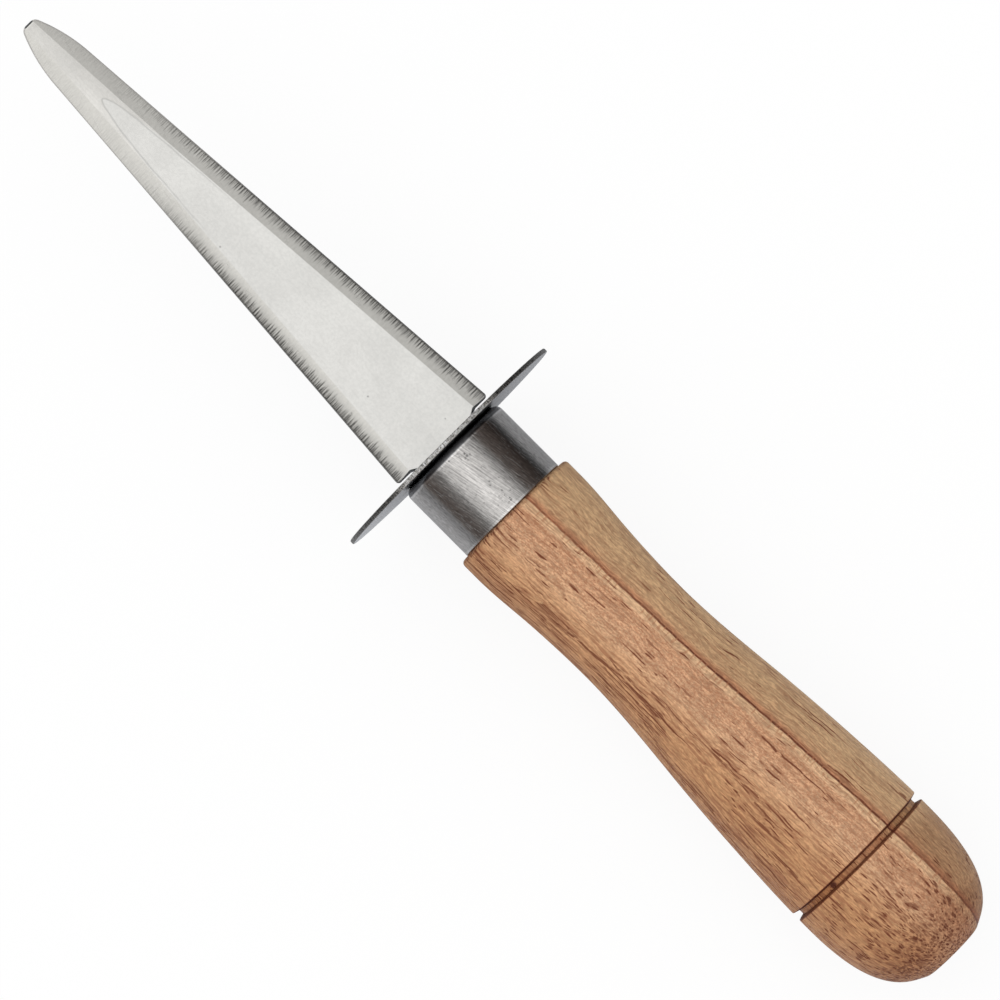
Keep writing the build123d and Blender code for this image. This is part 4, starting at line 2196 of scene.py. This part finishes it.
        # What the steel mirrors: a floor painted darker under and beside the knife, towards -Y and
        # at low angles, as painted shade in its reflections.
        facing = graph.node("ShaderNodeLayerWeight").outputs["Facing"]
        shallow = graph.level(facing, self.floor_levels)
        along, across, _ = graph.split(graph.millimetres())
        shallow = graph.times(shallow, graph.level(across, self.floor_sides))
        ends = graph.times(graph.level(along, self.floor_ends), self.floor_gain)
        shallow = graph.times(shallow, ends)
        dim = graph.mix(1.0, self.floor_tint, graph.grey(shallow), "MULTIPLY")
        colour = graph.mix(rays.outputs["Is Glossy Ray"], self.mirrored_tint, dim)
        graph.feed(shader.inputs["Base Color"], colour)
        shader.inputs["Roughness"].default_value = self.floor_roughness
        shader.inputs["Specular IOR Level"].default_value = 0.0
        glow = graph.node("ShaderNodeEmission")
        glow.inputs["Strength"].default_value = 1.0
        share = graph.times(rays.outputs["Is Camera Ray"], self.floor_glow)
        above = graph.blend(share, shader, glow)
        below = graph.node("ShaderNodeNewGeometry").outputs["Backfacing"]
        sides = graph.blend(below, above, graph.node("ShaderNodeBsdfTransparent"))
        output = made.node_tree.nodes["Material Output"]
        graph.feed(output.inputs["Surface"], sides.outputs[0])
        return made

    def mirrored(self, graph: Graph, sideways: Socket, lengthways: Socket) -> Socket:
        """Works out how light the panel and the room look in the steel.

        Args:
            graph: The world's graph.
            sideways: How far the light leans across the knife, in degrees.
            lengthways: How far it leans along the knife.

        Returns:
            The light's strength.
        """
        room = graph.remap(lengthways, *self.room_from_to)
        across = graph.level(sideways, self.levels_across)
        along = graph.level(lengthways, self.levels_along)
        panel = graph.times(across, along, graph.rest(room))
        return graph.scaled(room, self.room_level, panel)

    def light(self) -> None:
        """Lights the knife with one wide soft panel overhead, in a room darker at its horizon."""
        world = bpy.data.worlds.new("studio")
        bpy.context.scene.world = world
        world.use_nodes = True
        graph = Graph(world.node_tree)
        background = world.node_tree.nodes["Background"]
        x, y, z = graph.split(graph.node("ShaderNodeTexCoord").outputs["Generated"])
        sideways = graph.times(graph.math("ARCTAN2", y, z), DEGREES)
        slant = graph.math("SQRT", graph.plus(graph.times(y, y), graph.times(z, z)))
        lengthways = graph.times(graph.math("ARCTAN2", graph.size(x), slant), DEGREES)
        glossy = self.mirrored(graph, sideways, lengthways)
        panel = graph.remap(sideways, *self.panel_left)
        panel = graph.times(panel, graph.remap(sideways, *self.panel_right))
        diffuse = graph.plus(graph.remap(z, *self.sky), graph.times(panel, self.panel_level))
        rays = graph.node("ShaderNodeLightPath")
        shiny = graph.most(rays.outputs["Is Glossy Ray"], rays.outputs["Is Transmission Ray"])
        level = graph.times(shiny, glossy)
        plain = graph.times(graph.rest(shiny), diffuse)
        level = graph.most(graph.plus(level, plain), rays.outputs["Is Camera Ray"])
        warmed = graph.mix(graph.remap(glossy, *self.dim_levels), self.dim_tint, WHITE)
        graph.feed(background.inputs["Color"], graph.mix(shiny, WHITE, warmed))
        graph.feed(background.inputs["Strength"], level)

    def build(self, handle: bpy.types.Object) -> None:
        """Sets up the floor, the light and the camera.

        Args:
            handle: The finished handle, which the floor touches.
        """
        bpy.context.scene.view_settings.view_transform = "Standard"
        self.floor(handle)
        self.light()
        self.camera()


DRAWN_STEEL = RoundFinish(
    "drawn_steel",
    (211, 208, 205),
    0.09,
    mark_length=3.5,
    mark_width=0.13,
    mark_depth=0.003,
    mark_slant=-0.2,
    tone_change=0.2,
    mottle=0.08,
    scratches=1.0,
    scratch_slant=-0.2,
    scratch_spacing=0.5,
    scratch_width=0.05,
    specks=0.3,
    speck_spacing=0.5,
    speck_size=0.22,
    # Painted shade on the nose beside the guard.
    nose_shade_from=90.86,
    nose_shade_to=90.98,
    joint_shade_tone=0.36,
    # Painted highlight lines at both lips.
    lips=(80.72, 90.74),
    pitted=(82.3, 90.2),
)
ROLLED_PLATE = RoundFinish(
    "rolled_plate",
    (205, 208, 214),
    0.1,
    Marks.ACROSS,
    # Painted shade on the plate's back face round the ferrule.
    joint_radius=8.2,
    joint_shade_tone=0.3,
    joint_front=92.2,
)
SHEARED_RIM = RoundFinish(
    "sheared_rim",
    (240, 237, 231),
    0.3,
    mark_length=0.4,
    mark_width=0.14,
    mark_depth=0.03,
    tone_change=0.65,
    specks=0.85,
    speck_spacing=0.26,
    speck_size=0.45,
    # Painted shade towards the rim's two sides.
    side_from=6.5,
    side_to=9.5,
    side_shade_tone=0.25,
)
BLADE_FINISHES = {
    Ground.FLAT: FaceFinish(
        "blade_face", (232, 231, 227), 0.2, mark_length=30.0, tone_change=0.012
    ),
    Ground.BEVEL: BevelFinish(
        "blade_bevel", (230, 228, 222), 0.24, Marks.ACROSS, mark_length=6.0, tone_change=0.04
    ),
    Ground.NOSE: FaceFinish(
        "blade_nose", (230, 228, 223), 0.2, mark_length=12.0, tone_change=0.025
    ),
    Ground.EDGE: EdgeFinish(
        "blade_edge", (146, 142, 136), 0.34, mark_length=5.0, tone_change=0.1
    ),
}


def main() -> None:
    """Loads the frame, builds each sub-assembly in turn and logs each piece's size."""
    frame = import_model()
    effects = Effects.build()
    handle = Handle()
    wood = WoodFinish().material(effects, handle.groove_place, handle.groove_mouth)
    turned = handle.build(wood)
    report(turned)
    fittings = Fittings()
    report(fittings.build_ferrule(DRAWN_STEEL.material(effects)))
    plate, rim = ROLLED_PLATE.material(effects), SHEARED_RIM.material(effects)
    report(fittings.build_guard(plate, rim))
    finishes = {kind: finish.material(effects) for kind, finish in BLADE_FINISHES.items()}
    report(Blade().build(finishes))
    cement = frame["nodes"]["tang_cement"]
    cement.data.materials.clear()
    cement.data.materials.append(CementFinish().material(effects))
    report(cement)
    Studio().build(turned)


if __name__ == "__main__":
    logging.basicConfig(level=logging.INFO, format="%(message)s")
    main()
